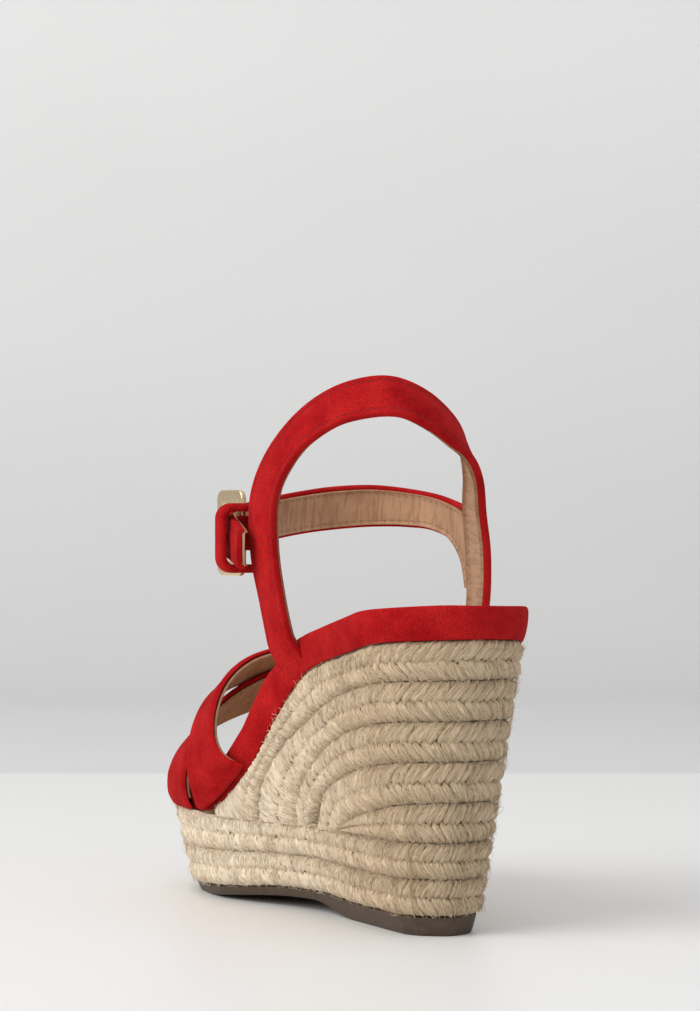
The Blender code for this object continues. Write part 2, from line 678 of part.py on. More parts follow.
def main():
    clear_scene()
    material("cutter", (0.5, 0.5, 0.5), 0.5)
    suede = material("suede", (0.62, 0.02, 0.025), 0.9)
    leather = material("leather", (0.62, 0.42, 0.29), 0.6)
    jute = material("jute", (0.60, 0.46, 0.31), 0.95)
    rubber = material("rubber", (0.10, 0.065, 0.04), 0.6)
    cork = material("cork", (0.45, 0.30, 0.17), 0.9)
    board = material("board", (0.40, 0.30, 0.20), 0.8)
    foam = material("foam", (0.80, 0.76, 0.66), 0.9)
    gold = material("gold", (0.83, 0.66, 0.40), 0.25, 1.0)
    build_sole(rubber, cork, jute)
    build_footbed(board, foam, leather, suede)
    build_vamp(suede, leather)
    build_collar(suede, leather)
    build_front_strap(suede, leather)
    build_frame(gold)
    build_prong(gold)
    build_tab(suede)
    build_keeper(suede)


main()
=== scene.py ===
"""Looks of the wedge sandal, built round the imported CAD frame. Shoe sizes are in mm."""
import math

import bmesh
import bpy
import numpy as np
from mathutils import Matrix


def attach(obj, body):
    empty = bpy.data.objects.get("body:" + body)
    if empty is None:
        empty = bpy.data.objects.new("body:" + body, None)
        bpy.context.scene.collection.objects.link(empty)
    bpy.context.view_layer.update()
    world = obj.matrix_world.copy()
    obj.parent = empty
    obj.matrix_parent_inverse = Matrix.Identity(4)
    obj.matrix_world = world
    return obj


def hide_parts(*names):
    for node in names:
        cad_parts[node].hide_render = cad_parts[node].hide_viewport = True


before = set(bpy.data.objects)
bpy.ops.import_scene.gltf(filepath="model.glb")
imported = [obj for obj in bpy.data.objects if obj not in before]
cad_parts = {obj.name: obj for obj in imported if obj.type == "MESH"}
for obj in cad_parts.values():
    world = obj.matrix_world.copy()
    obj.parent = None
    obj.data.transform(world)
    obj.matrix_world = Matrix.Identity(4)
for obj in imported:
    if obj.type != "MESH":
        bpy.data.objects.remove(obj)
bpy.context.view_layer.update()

# ---- Shoe sizes, the same as the CAD part's but for the end of FRONT_STRAP ----
# X runs to the inner side, Y from the back of the heel to the toe, Z up.
CENTRE = np.array([0.37, 106.35, 0.0])
LENGTH = 212.0
OUTER_HALF = [(0, 0), (4, 13), (12, 22.5), (25, 27.5), (45, 28.5), (75, 29.5), (100, 33),
              (120, 37), (140, 39.8), (160, 39), (180, 33), (197, 22.5), (207, 10.5), (212, -7)]
INNER_HALF = [(0, 0), (4, 13), (12, 22.5), (25, 27.5), (45, 27.8), (75, 25.6), (100, 27.5),
              (120, 33), (140, 39), (160, 41), (180, 37.5), (197, 29.5), (207, 20), (212, 7)]
PLATFORM_TOP = 29.4
WEDGE_TOP = [(0, 92.8), (16, 91.4), (30, 88.6), (50, 84.9), (68, 80.6), (79, 74.8), (89, 66.9),
             (109, 46.3), (124, 35.3), (136, 30.2), (148, PLATFORM_TOP), (LENGTH, PLATFORM_TOP)]
SOLE_TOP = [(0, 6.4), (58, 6.4), (85, 7.4), (100, 7.3), (135, 4.8), (165, 3.3), (LENGTH, 3.3)]
SOLE_BOTTOM = [(0, 0), (64, 0), (76, 1.2), (92, 4.0), (104, 3.8), (135, 1.4), (152, 0), (LENGTH, 0)]
LEAN_HEEL = math.radians(9.0)
LEAN_TOE = math.radians(13.0)
LEDGE = [(0, 0), (95, 0), (140, 3.0), (LENGTH, 3.0)]
TOP_BRAID_END = 133.0
BRAID_LINES = [(109.0, 1.85), (89.5, 2.0), (80.5, 1.9), (61.0, 1.5)]
HEEL_BRAIDS = 5
ARCH_HEEL_Y = 121.0
ARCH_TOP = 83.0
ARCH_FALL = 0.56
ARCH_POWER = 3.0
ARCH_CLEARANCE = [(0, 2.6), (150, 2.6), (176, 4.0)]
OVER_LIFT = 3.4
STRAP_FOOT = 0.5
OVER_REAR = [(0, 108), (0.09, 116), (0.22, 121), (0.5, 125), (0.75, 132), (0.9, 138), (1, 139)]
OVER_FRONT = [(0, 137), (0.1, 136), (0.2, 137), (0.35, 142), (0.5, 148), (0.75, 157), (1, 167)]
UNDER_REAR = [(0, 148), (0.1, 147), (0.25, 141), (0.5, 127), (0.75, 116), (0.9, 111), (1, 106)]
UNDER_FRONT = [(0, 174), (0.25, 164), (0.5, 151), (0.75, 140), (0.9, 136), (1, 135.5)]
COLLAR = [
    ((-33.4, 80.5, 75.0), (-31.9, 66.5, 82.0)),
    ((-36.6, 87.0, 101.0), (-35.3, 72.0, 103.0)),
    ((-38.0, 93.0, 119.0), (-36.0, 77.0, 121.0)),
    ((-39.0, 90.0, 138.0), (-36.5, 74.5, 136.0)),
    ((-36.8, 78.0, 153.0), (-35.4, 65.5, 146.0)),
    ((-29.0, 62.0, 167.0), (-31.2, 55.5, 154.5)),
    ((-19.0, 50.5, 173.5), (-23.0, 44.3, 160.5)),
    ((-7.0, 44.9, 174.3), (-8.9, 36.2, 162.0)),
    ((4.0, 44.5, 169.5), (1.2, 35.0, 157.8)),
    ((14.2, 48.3, 161.5), (9.5, 37.2, 153.0)),
    ((21.5, 57.0, 153.0), (17.5, 43.5, 149.5)),
    ((27.4, 68.0, 144.5), (25.6, 53.5, 142.5)),
    ((31.8, 79.0, 134.0), (31.2, 63.5, 130.5)),
    ((35.0, 84.0, 118.0), (34.2, 67.0, 118.0)),
    ((35.6, 84.5, 102.0), (34.2, 68.0, 102.0)),
    ((31.0, 85.0, 76.5), (29.4, 69.5, 81.5)),
]
FRONT_STRAP = [
    ((33.4, 82.7, 133.4), (37.2, 88.0, 104.0)),
    ((34.6, 88.4, 133.8), (37.8, 94.0, 114.5)),
    ((34.2, 94.5, 135.2), (36.0, 99.5, 121.5)),
    ((31.4, 103.0, 137.5), (32.0, 106.5, 125.3)),
    ((25.6, 112.5, 139.4), (26.5, 115.5, 126.6)),
    ((14.6, 120.0, 140.8), (15.4, 123.8, 126.8)),
    ((0.7, 122.5, 140.2), (1.2, 126.5, 125.7)),
    ((-9.8, 120.8, 138.9), (-9.6, 124.0, 124.5)),
    ((-20.0, 118.2, 137.3), (-20.5, 120.4, 122.7)),
    ((-29.0, 116.0, 135.6), (-29.5, 117.4, 120.8)),
    ((-36.4, 112.8, 134.0), (-36.6, 113.4, 119.3)),
    ((-41.2, 107.4, 132.6), (-41.2, 107.6, 117.9)),
    ((-42.9, 101.5, 131.1), (-42.9, 101.5, 116.6)),
    ((-43.5, 95.5, 129.4), (-43.5, 95.4, 115.4)),
    ((-43.9, 90.0, 127.6), (-43.9, 90.0, 114.2)),
    ((-44.3, 86.6, 126.4), (-44.3, 86.2, 113.2)),
]
HOLE_SHARES = [0.685, 0.83, 0.90]
HOLE_RADIUS = 1.3
PRONG_SLOT = (3.5, 1.35)          # half length and half height
PRONG_SLOT_PLACE = (4.0, 2.2)     # forward of the bar and out from it
BAR_POSITION = (-37.9, 104.5, 124.9)
BUCKLE_HEADING = math.radians(103.0)
KEEPER_CENTRE = (-40.1, 98.1, 123.3)
KEEPER_WIDTH = 6.2
KEEPER_HALF = (8.0, 10.6)
KEEPER_WALL = 1.9
KEEPER_CORNER = 4.3
KEEPER_PUFF = 0.9                 # the padded loop stands proud of the CAD's by this much
KEEPER_ROUNDING = 1.3
FRAME_LOW, FRAME_HIGH, FRAME_CORNER = (-1.1, -14.3), (14.8, 14.3), 3.2
WINDOW_LOW, WINDOW_HIGH, WINDOW_CORNER = (0.9, -9.4), (11.8, 9.4), 1.6
FRAME_HALF = 0.9                  # half thickness
PRONG_RADIUS = 0.62
PRONG_EYE = 2.0


# ---- Curves ----
def between(t, values, leave, arrive, i):
    """A cubic from values[i] to values[i + 1], at t from 0 to 1, with its slopes at both ends."""
    start = (1 + 2 * t) * (1 - t) ** 2 * values[i] + t * (1 - t) ** 2 * leave
    return start + t * t * (3 - 2 * t) * values[i + 1] + t * t * (t - 1) * arrive


def profile(points):
    """A smooth curve through points that never overshoots them."""
    xs, ys = np.array(points, dtype=float).T
    step = np.diff(xs)
    slope = np.diff(ys) / step
    tangent = np.zeros_like(ys)
    tangent[0], tangent[-1] = slope[0], slope[-1]
    for i in range(1, len(xs) - 1):
        if slope[i - 1] * slope[i] > 0:
            near = 2 * step[i] + step[i - 1]
            far = step[i] + 2 * step[i - 1]
            tangent[i] = (near + far) / (near / slope[i - 1] + far / slope[i])

    def value(x):
        x = np.clip(np.asarray(x, dtype=float), xs[0], xs[-1])
        i = np.clip(np.searchsorted(xs, x, side="right") - 1, 0, len(step) - 1)
        return between((x - xs[i]) / step[i], ys, step[i] * tangent[i], step[i] * tangent[i + 1], i)

    return value


def run_along(line):
    """The distance from a line's start to each of its points."""
    return np.concatenate([[0], np.cumsum(np.linalg.norm(np.diff(line, axis=0), axis=1))])


def points_at(spots, run, line):
    """A line's points at distances along it."""
    return np.stack([np.interp(spots, run, axis) for axis in line.T], axis=-1)


def smooth_stations(stations, count):
    """Pairs of edge points at even steps along a smooth strap through its stations."""
    stations = np.array(stations, dtype=float)
    middle = stations.mean(axis=1)
    knots = run_along(middle)
    tangent = np.gradient(stations, knots, axis=0)
    spots = np.linspace(0, knots[-1], count)
    i = np.clip(np.searchsorted(knots, spots, side="right") - 1, 0, len(knots) - 2)
    step = (knots[i + 1] - knots[i])[:, None, None]
    t = (spots - knots[i])[:, None, None] / step
    return between(t, stations, step * tangent[i], step * tangent[i + 1], i)


def angle_at(y):
    """The outline's angle at a distance from the heel."""
    return np.arccos(np.clip(1 - 2 * np.asarray(y, dtype=float) / LENGTH, -1, 1))


wedge_top = profile(WEDGE_TOP)
sole_top = profile(SOLE_TOP)
sole_bottom = profile(SOLE_BOTTOM)
ledge = profile(LEDGE)
arch_clearance = profile(ARCH_CLEARANCE)
lean = profile([(0, math.tan(LEAN_HEEL)), (60, math.tan(LEAN_HEEL)), (140, math.tan(LEAN_TOE)),
                (LENGTH, math.tan(LEAN_TOE))])
outer_half = profile([(float(angle_at(y)), width) for y, width in OUTER_HALF])
inner_half = profile([(float(angle_at(y)), width) for y, width in INNER_HALF])


def outline(angle, inset):
    """Points of the footbed outline, drawn in by inset. Positive angles are the outer side."""
    def point(a):
        a = (a + math.pi) % (2 * math.pi) - math.pi
        x = np.where(a >= 0, -outer_half(np.abs(a)), inner_half(np.abs(a)))
        return np.stack([x, LENGTH / 2 * (1 - np.cos(a))], axis=-1)

    angle = np.asarray(angle, dtype=float)
    tangent = point(angle + 0.02) - point(angle - 0.02)
    tangent /= np.linalg.norm(tangent, axis=-1, keepdims=True)
    inward = np.stack([tangent[..., 1], -tangent[..., 0]], axis=-1)
    return point(angle) + inward * np.asarray(inset, dtype=float)[..., None]


def outline_y(angle):
    return outline(angle, np.zeros_like(angle))[..., 1]


def wall(angle, height, depth):
    """Points on the leaning side of the shoe at a height, sunk in by depth."""
    base = outline_y(angle)
    inset = (wedge_top(base) - height) * lean(base) + depth
    return np.concatenate([outline(angle, inset), np.asarray(height)[..., None]], axis=-1)


def above_wedge(y, thickness):
    """The height of a layer's top, whose thickness is square to the wedge's top."""
    slope = wedge_top(y + 0.5) - wedge_top(y - 0.5)
    return wedge_top(y) + thickness * np.sqrt(1 + slope * slope)


def sole_ring(angles, height, depth):
    """A ring of the outsole's side, at a height that varies along the shoe."""
    flat = outline_y(angles)
    ring = wall(angles, height(flat), depth - ledge(flat))
    ring[:, 2] = height(ring[:, 1])
    return ring


def footbed_ring(angles, thickness, depth):
    """A ring round the footbed, at a thickness above the wedge."""
    flat = outline_y(angles)
    ring = wall(angles, wedge_top(flat) + thickness, depth)
    ring[:, 2] = above_wedge(ring[:, 1], thickness)
    return ring


# ---- Meshes ----
def added(name, data):
    """A new object in the scene."""
    made = bpy.data.objects.new(name, data)
    bpy.context.scene.collection.objects.link(made)
    return made


def ridden(made, body, slot, *nodes):
    """A piece that moves with a CAD body and stands for its nodes."""
    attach(made, body)
    if nodes:
        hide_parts(*nodes)
    return made


def evaluated(thing):
    """A new mesh with an object's modifiers or curve worked out."""
    return bpy.data.meshes.new_from_object(
        thing.evaluated_get(bpy.context.evaluated_depsgraph_get()))


def build(name, points, faces, finish, body, slot, grain=None, shade=None):
    """A mesh piece from shoe positions that rides on a CAD body."""
    data = bpy.data.meshes.new(name)
    world = (np.asarray(points, dtype=float) - CENTRE) * 0.001
    data.from_pydata(world.tolist(), [], [tuple(int(i) for i in face) for face in faces])
    if grain is not None:
        layer = data.attributes.new("grain", "FLOAT_VECTOR", "POINT")
        layer.data.foreach_set("vector", np.asarray(grain, dtype=np.float32).ravel())
    if shade is not None:
        layer = data.attributes.new("shade", "FLOAT", "POINT")
        layer.data.foreach_set("value", np.asarray(shade, dtype=np.float32).ravel())
    data.materials.append(finish)
    data.shade_smooth()
    return ridden(added(name, data), body, slot)


def tidy_normals(data, weld=None):
    """Turns a closed mesh's faces outwards, after joining points closer than weld."""
    shape = bmesh.new()
    shape.from_mesh(data)
    if weld:
        bmesh.ops.remove_doubles(shape, verts=shape.verts, dist=weld)
    bmesh.ops.recalc_face_normals(shape, faces=shape.faces)
    shape.to_mesh(data)
    shape.free()


def ring_faces(rows, size, closed_rows, closed_size=True):
    """Quads of a grid of rows by size points."""
    i = np.arange(rows if closed_rows else rows - 1)
    j = np.arange(size if closed_size else size - 1)
    i, j = np.meshgrid(i, j, indexing="ij")
    near, far = i * size, (i + 1) % rows * size
    k = (j + 1) % size
    return np.stack([near + j, near + k, far + k, far + j], axis=-1).reshape(-1, 4).tolist()


def end_faces(rows, size):
    """The two faces that close the ends of a grid of rows."""
    return [list(range(size)), list(range((rows - 1) * size, rows * size))]


def loft(name, rings, finish, body, slot, closed, grain=None):
    """A closed body through rings of points; the last ring joins the first if closed."""
    count, size = rings.shape[:2]
    faces = ring_faces(count, size, closed)
    if not closed:
        faces += end_faces(count, size)
    flat_grain = None if grain is None else np.asarray(grain).reshape(-1, 3)
    made = build(name, rings.reshape(-1, 3), faces, finish, body, slot, flat_grain)
    tidy_normals(made.data)
    return made


def unit(v):
    return v / np.maximum(np.linalg.norm(v, axis=-1, keepdims=True), 1e-12)


def lumps(x, seed):
    """A smooth random wave of a coordinate, about -1 to 1."""
    random = np.random.default_rng(seed)
    total = np.zeros_like(np.asarray(x, dtype=float))
    waves = 6
    for _ in range(waves):
        total += np.sin(x * random.uniform(0.3, 1.6) + random.uniform(0, 6.28))
    return total / math.sqrt(waves) / 1.4


# ---- Materials ----
MIX_INPUTS = (0, 6, 7)            # the colour Mix node's factor, first and second colour
MIX_RESULT = 2


class Finish:
    """A material in the making: its Principled shader's sockets and the nodes used here."""

    def __init__(self, name, roughness, metallic=0.0):
        self.material = bpy.data.materials.new(name)
        self.material.use_nodes = True
        self.tree = self.material.node_tree
        self.main = self.tree.nodes["Principled BSDF"].inputs
        self.even({"Roughness": roughness, "Metallic": metallic})

    def even(self, values):
        """Numbers and colours that are the same all over the surface."""
        for name, value in values.items():
            self.main[name].default_value = value

    def link(self, source, socket):
        self.tree.links.new(source, socket)

    def node(self, kind, **values):
        made = self.tree.nodes.new(kind)
        for key, value in values.items():
            if key in made.inputs:
                made.inputs[key].default_value = value
            else:
                setattr(made, key, value)
        return made

    def place(self, scale=(1, 1, 1), attribute=None):
        """Coordinates in mm, of the object or of a mesh attribute, scaled along each axis."""
        if attribute:
            source = self.node("ShaderNodeAttribute", attribute_name=attribute).outputs["Vector"]
        else:
            source = self.node("ShaderNodeTexCoord").outputs["Object"]
        factor = 1.0 if attribute else 1000.0
        mapping = self.node("ShaderNodeMapping")
        mapping.inputs["Scale"].default_value = tuple(factor * s for s in scale)
        self.link(source, mapping.inputs["Vector"])
        return mapping.outputs["Vector"]

    def share(self, axis, low, high):
        """0 to 1 as one of the object's coordinates goes from low to high, in metres."""
        split = self.node("ShaderNodeSeparateXYZ")
        self.link(self.node("ShaderNodeTexCoord").outputs["Object"], split.inputs[0])
        made = self.node("ShaderNodeMapRange")
        made.inputs["From Min"].default_value = low
        made.inputs["From Max"].default_value = high
        self.link(split.outputs[axis], made.inputs["Value"])
        return made.outputs[0]

    def noise(self, where, scale, detail=4.0, rough=0.6, distortion=0.0):
        made = self.node("ShaderNodeTexNoise", Scale=scale, Detail=detail, Roughness=rough,
                         Distortion=distortion)
        self.link(where, made.inputs["Vector"])
        return made.outputs["Fac"]

    def ramp(self, value, stops):
        """A colour ramp. A stop's colour is a triple, or one number for a grey."""
        made = self.node("ShaderNodeValToRGB")
        bar = made.color_ramp
        while len(bar.elements) < len(stops):
            bar.elements.new(0.5)
        for element, (spot, colour) in zip(bar.elements, stops):
            element.position = spot
            element.color = (*(colour if isinstance(colour, tuple) else (colour,) * 3), 1.0)
        self.link(value, made.inputs["Fac"])
        return made.outputs["Color"]

    def mix(self, kind, amount, first, second):
        made = self.node("ShaderNodeMix", data_type="RGBA", blend_type=kind)
        for value, number in zip((amount, first, second), MIX_INPUTS):
            if isinstance(value, (int, float)):
                made.inputs[number].default_value = value
            elif isinstance(value, tuple):
                made.inputs[number].default_value = (*value, 1.0)
            else:
                self.link(value, made.inputs[number])
        return made.outputs[MIX_RESULT]

    def tint(self, colour, amount, value, stops):
        """A colour multiplied, by some amount, by a ramp of a value."""
        return self.mix("MULTIPLY", amount, colour, self.ramp(value, stops))

    def bump(self, height, strength, distance, below=None):
        """A bump up to a distance in mm, on top of another one if given."""
        made = self.node("ShaderNodeBump", Strength=strength, Distance=distance * 0.001)
        self.link(height, made.inputs["Height"])
        if below is not None:
            self.link(below, made.inputs["Normal"])
        return made.outputs["Normal"]

    def done(self, colour, normal=None, roughness=None):
        for name, source in (("Base Color", colour), ("Normal", normal), ("Roughness", roughness)):
            if source is not None:
                self.link(source, self.main[name])
        return self.material


def suede_material():
    """Red suede: a brushed nap, fine specks and lighter edges, partly rubbed fibre and partly a
    painted sheen.
    """
    base, light = (0.33, 0.003, 0.006), (0.56, 0.018, 0.018)
    paint = Finish("red_suede", 0.92)
    where = paint.place()
    broad = paint.noise(where, 0.09, 2.0, 0.5, 0.3)
    brushed = paint.noise(paint.place((1.0, 0.35, 0.6)), 0.9, 4.0, 0.65, 0.4)
    fine = paint.noise(where, 1.9, 4.0, 0.75)
    colour = paint.ramp(broad, [(0.25, base), (0.85, light)])
    colour = paint.tint(colour, 0.75, brushed, [(0.3, 0.84), (0.7, 1.08)])
    colour = paint.tint(colour, 0.7, fine, [(0.37, 0.50), (0.59, 1.26)])
    # Convex edges are mixed towards the light red: partly rubbed fibre, partly a painted sheen
    # highlight.
    edge = paint.node("ShaderNodeNewGeometry").outputs["Pointiness"]
    rubbed_and_sheen = paint.ramp(edge, [(0.5, 0.0), (0.62, 0.35)])
    colour = paint.mix("MIX", rubbed_and_sheen, colour, light)
    paint.even({"Sheen Weight": 0.10, "Sheen Roughness": 0.4, "Specular IOR Level": 0.06,
                "Sheen Tint": (1.0, 0.12, 0.10, 1.0)})
    return paint.done(colour, paint.bump(fine, 0.75, 0.28, paint.bump(brushed, 0.35, 0.35)))


def leather_material():
    """Pale leather with creases across the strap and pores, along the grain attribute."""
    paint = Finish("lining_leather", 0.48)
    where = paint.place(attribute="grain")
    creases = paint.noise(paint.place((0.62, 0.07, 1), "grain"), 1.0, 3.0, 0.55, 0.8)
    pores = paint.noise(where, 5.0, 5.0, 0.7)
    stain = paint.noise(where, 0.12, 3.0, 0.6)
    colour = paint.ramp(stain, [(0.3, (0.48, 0.27, 0.15)), (0.7, (0.61, 0.37, 0.22))])
    colour = paint.tint(colour, 0.75, creases, [(0.40, (0.72, 0.66, 0.6)), (0.5, 1.0)])
    colour = paint.tint(colour, 0.8, pores, [(0.35, 0.86), (0.6, 1.04)])
    normal = paint.bump(pores, 0.3, 0.08, paint.bump(creases, 0.5, 0.5))
    return paint.done(colour, normal, paint.ramp(pores, [(0.3, 0.6), (0.7, 0.42)]))


def jute_material():
    """Jute fibres. The grain attribute runs along a strand, across it, and counts strands."""
    paint = Finish("jute", 0.85)
    fibre = paint.noise(paint.place((0.22, 2.3, 7.7), "grain"), 1.0, 4.0, 0.7, 0.35)
    cord = paint.noise(paint.place((0.10, 0.95, 7.7), "grain"), 1.0, 3.0, 0.6)
    patch = paint.noise(paint.place(), 0.07, 3.0, 0.6)
    each = paint.noise(paint.place((0, 0, 7.7), "grain"), 1.0, 1.0, 0.5)
    # Browner at the heel, paler towards the toe: painted light on the toe end and painted shade on
    # the heel end
    colour = paint.ramp(paint.share("Y", -0.075, 0.02),
                        [(0.0, (0.66, 0.53, 0.38)), (1.0, (0.90, 0.80, 0.66))])
    colour = paint.tint(colour, 0.9, each, [(0.3, (0.80, 0.78, 0.74)), (0.7, (1.10, 1.08, 1.06))])
    colour = paint.tint(colour, 0.85, fibre, [(0.34, (0.42, 0.35, 0.27)), (0.46, (0.94, 0.92, 0.88)),
                                              (0.62, (1.30, 1.29, 1.26))])
    colour = paint.tint(colour, 0.7, cord, [(0.34, (0.66, 0.60, 0.52)), (0.5, 1.06)])
    colour = paint.tint(colour, 0.8, patch, [(0.3, (0.90, 0.88, 0.84)), (0.65, 1.04)])
    # Painted shade in the hollows between the strands, from the shade attribute, with a ragged limit
    ragged = paint.node("ShaderNodeMath", operation="MULTIPLY_ADD")
    paint.link(fibre, ragged.inputs[0])
    ragged.inputs[1].default_value = -0.5
    paint.link(paint.node("ShaderNodeAttribute", attribute_name="shade").outputs["Fac"],
               ragged.inputs[2])
    colour = paint.tint(colour, 1.0, ragged.outputs[0],
                        [(0.0, 1.0), (0.22, (0.46, 0.38, 0.29)), (0.5, (0.13, 0.09, 0.055))])
    paint.even({"Sheen Weight": 0.35, "Sheen Roughness": 0.5, "Specular IOR Level": 0.2,
                "Sheen Tint": (1.0, 0.92, 0.8, 1.0)})
    return paint.done(colour, paint.bump(fibre, 1.0, 0.6, paint.bump(cord, 0.6, 0.5)))


def grain_material(name, dark, light, roughness, scale, strength, distance):
    """A mottled surface with a fine bump: rubber, cork, board, foam or thread."""
    paint = Finish(name, roughness)
    where = paint.place()
    broad = paint.noise(where, scale * 0.12, 3.0, 0.6)
    fine = paint.noise(where, scale, 5.0, 0.7)
    colour = paint.ramp(broad, [(0.3, dark), (0.7, light)])
    colour = paint.tint(colour, 0.8, fine, [(0.35, 0.84), (0.65, 1.1)])
    rough = paint.ramp(fine, [(0.3, roughness - 0.08), (0.7, roughness + 0.08)])
    return paint.done(colour, paint.bump(fine, strength, distance), rough)


def gold_material():
    """Brushed pale gold."""
    paint = Finish("pale_gold", 0.24, 1.0)
    brushed = paint.noise(paint.place((1, 1, 0.12)), 6.0, 4.0, 0.7)
    spots = paint.noise(paint.place(), 0.6, 3.0, 0.6)
    colour = paint.ramp(spots, [(0.3, (0.80, 0.62, 0.38)), (0.7, (0.90, 0.74, 0.50))])
    rough = paint.ramp(brushed, [(0.3, 0.17), (0.7, 0.33)])
    return paint.done(colour, paint.bump(brushed, 0.12, 0.05), rough)


red_suede = suede_material()
lining_leather = leather_material()
jute = jute_material()
rubber = grain_material("brown_rubber", (0.050, 0.030, 0.016), (0.082, 0.051, 0.029),
                        0.55, 3.0, 0.25, 0.1)
cork = grain_material("cork", (0.30, 0.18, 0.09), (0.55, 0.36, 0.20), 0.9, 1.2, 0.5, 0.4)
board = grain_material("fibre_board", (0.32, 0.23, 0.15), (0.46, 0.35, 0.24), 0.85, 3.0, 0.3, 0.1)
foam = grain_material("foam", (0.72, 0.66, 0.54), (0.84, 0.80, 0.70), 0.95, 5.0, 0.4, 0.1)
red_thread = grain_material("red_thread", (0.17, 0.003, 0.006), (0.25, 0.006, 0.010),
                            0.8, 6.0, 0.5, 0.08)
beige_thread = grain_material("beige_thread", (0.34, 0.22, 0.12), (0.46, 0.31, 0.18),
                              0.8, 6.0, 0.5, 0.08)
gold = gold_material()
for node_name, finish in (("wedge_core", cork), ("insole_board", board), ("foam_pad", foam),
                          ("buckle_tab", red_suede)):
    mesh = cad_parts[node_name].data
    mesh.materials.clear()
    mesh.materials.append(finish)


# ---- Jute braids ----
OVERLAP = 14.0                    # a loop braid's lines run on past their join by this much
HALF_BRAID = 6.3                  # a braid's usual half width
GROOVE = 0.13                     # half width of a braid's middle groove, as a share across
LOOP_TOP = 31.0                   # a braid that stays below this goes all the way round
MIDDLE_BRAID_END = 62.0
STRAND_GRID = (12, 13)            # points along and across a strand


def braid_line(index, y):
    """The line under heel braid number index; line 0 is the wedge's top."""
    if index == 0:
        return wedge_top(y)
    if index == HEEL_BRAIDS:
        return np.full_like(y, PLATFORM_TOP)
    start = (WEDGE_TOP[0][1] - PLATFORM_TOP) * (1 - index / HEEL_BRAIDS)
    end, power = BRAID_LINES[index - 1]
    return PLATFORM_TOP + start * np.clip(1 - (y / end) ** power, 0.0, 1.0) ** (1 / power)


around = np.linspace(-math.pi, math.pi, 1441)
flat_ring = outline(around, np.zeros_like(around))
run_ring = run_along(flat_ring)
run_ring -= np.interp(0.0, around, run_ring)
y_ring = flat_ring[:, 1]


def wrapped(run):
    """A distance along the side, brought back into one turn round the shoe."""
    return (run - run_ring[0]) % (run_ring[-1] - run_ring[0]) + run_ring[0]


def even(line, count):
    """A 2D line resampled at even steps, with its length."""
    run = run_along(line)
    return points_at(np.linspace(0, run[-1], count), run, line), run[-1]


def smoothed(values, width):
    """A 2D line averaged over a window of points, with its ends held."""
    kernel = np.hanning(2 * width + 3)[1:-1]
    kernel /= kernel.sum()
    padded = np.concatenate([np.repeat(values[:1], width, 0), values,
                             np.repeat(values[-1:], width, 0)])
    return np.stack([np.convolve(padded[:, k], kernel, "valid") for k in range(2)], axis=1)


def heel_band(index):
    """Lower and upper edges of a heel braid, paired square to it, in the side's own plane."""
    top_end = TOP_BRAID_END if index == 1 else BRAID_LINES[index - 2][0]
    low_end = MIDDLE_BRAID_END if index == HEEL_BRAIDS else BRAID_LINES[index - 1][0]

    def edge(line, end):
        reach = float(angle_at(end))
        angles = np.linspace(-reach, reach, 1201)
        return np.stack([np.interp(angles, around, run_ring), braid_line(line, outline_y(angles))],
                        axis=1)

    top, _ = even(edge(index - 1, top_end), 1200)
    low, length = even(edge(index, low_end), 600)
    step = length / 599
    # The lower line runs straight on at its ends, and the upper one down into the platform
    extra = 0 if index == HEEL_BRAIDS else int(34 / step)
    first, last = unit(low[0] - low[3]), unit(low[-1] - low[-4])
    reach = np.arange(1, extra + 1)[:, None] * step
    low = np.concatenate([(low[0] + first * reach)[::-1], low, low[-1] + last * reach])
    if 1 < index < HEEL_BRAIDS:
        down = np.arange(1, 61)[:, None] * np.array([[0.0, -0.25]])
        top = np.concatenate([(top[0] + down)[::-1], top, top[-1] + down])
    gap = np.linalg.norm(low[:, None] - top[None], axis=2)
    near = gap.argmin(axis=1)
    deepest = -60.0 if index == 1 else PLATFORM_TOP - 8.0
    keep = (near > 1) & (near < len(top) - 2) & (low[:, 1] > deepest)
    low, high = low[keep], top[near[keep]]
    return smoothed(low, 9), smoothed(high, 9)


def loop_band(low_height, high_height):
    """Edges of a platform braid that runs all the way round."""
    run = np.linspace(run_ring[0] - OVERLAP, run_ring[-1] + OVERLAP, 1801)
    y = np.interp(wrapped(run), run_ring, y_ring)
    return np.stack([run, low_height(y)], axis=1), np.stack([run, high_height(y)], axis=1)


def on_side(low, high, spot, across, out):
    """Shoe positions of points on a band: spot along its line, across -1 to 1, out in mm."""
    run = run_along((low + high) / 2)
    share = (np.asarray(across) + 1) / 2
    low_spot, high_spot = points_at(spot, run, low), points_at(spot, run, high)
    flat = low_spot * (1 - share)[..., None] + high_spot * share[..., None]
    height = flat[..., 1]
    angle = np.interp(wrapped(flat[..., 0]), run_ring, around)
    under = np.zeros_like(height)
    if low[:, 1].min() < PLATFORM_TOP + 0.1 and high[:, 1].max() > LOOP_TOP:
        # A heel braid's ends stop at the platform and sink in there
        under = np.clip(PLATFORM_TOP - 0.7 - height, 0, None)
    out = out - np.minimum(under, 4.0) * 0.4
    return wall(angle, height + under, -out - ledge(outline_y(angle)))


# How far a strand runs along the braid between its two ends, at places along the shoe
sweep_at = profile([(0, 5.4), (40, 5.2), (62, 3.6), (85, 2.0), (110, 1.4), (LENGTH, 1.2)])


def bulge(across):
    """How far a braid's face stands out at a place across it."""
    a = np.abs(across)
    return -0.75 * np.exp(-(a / GROOVE) ** 2) - 1.15 * np.clip((a - 0.5) / 0.55, 0, 1) ** 2 - 0.35


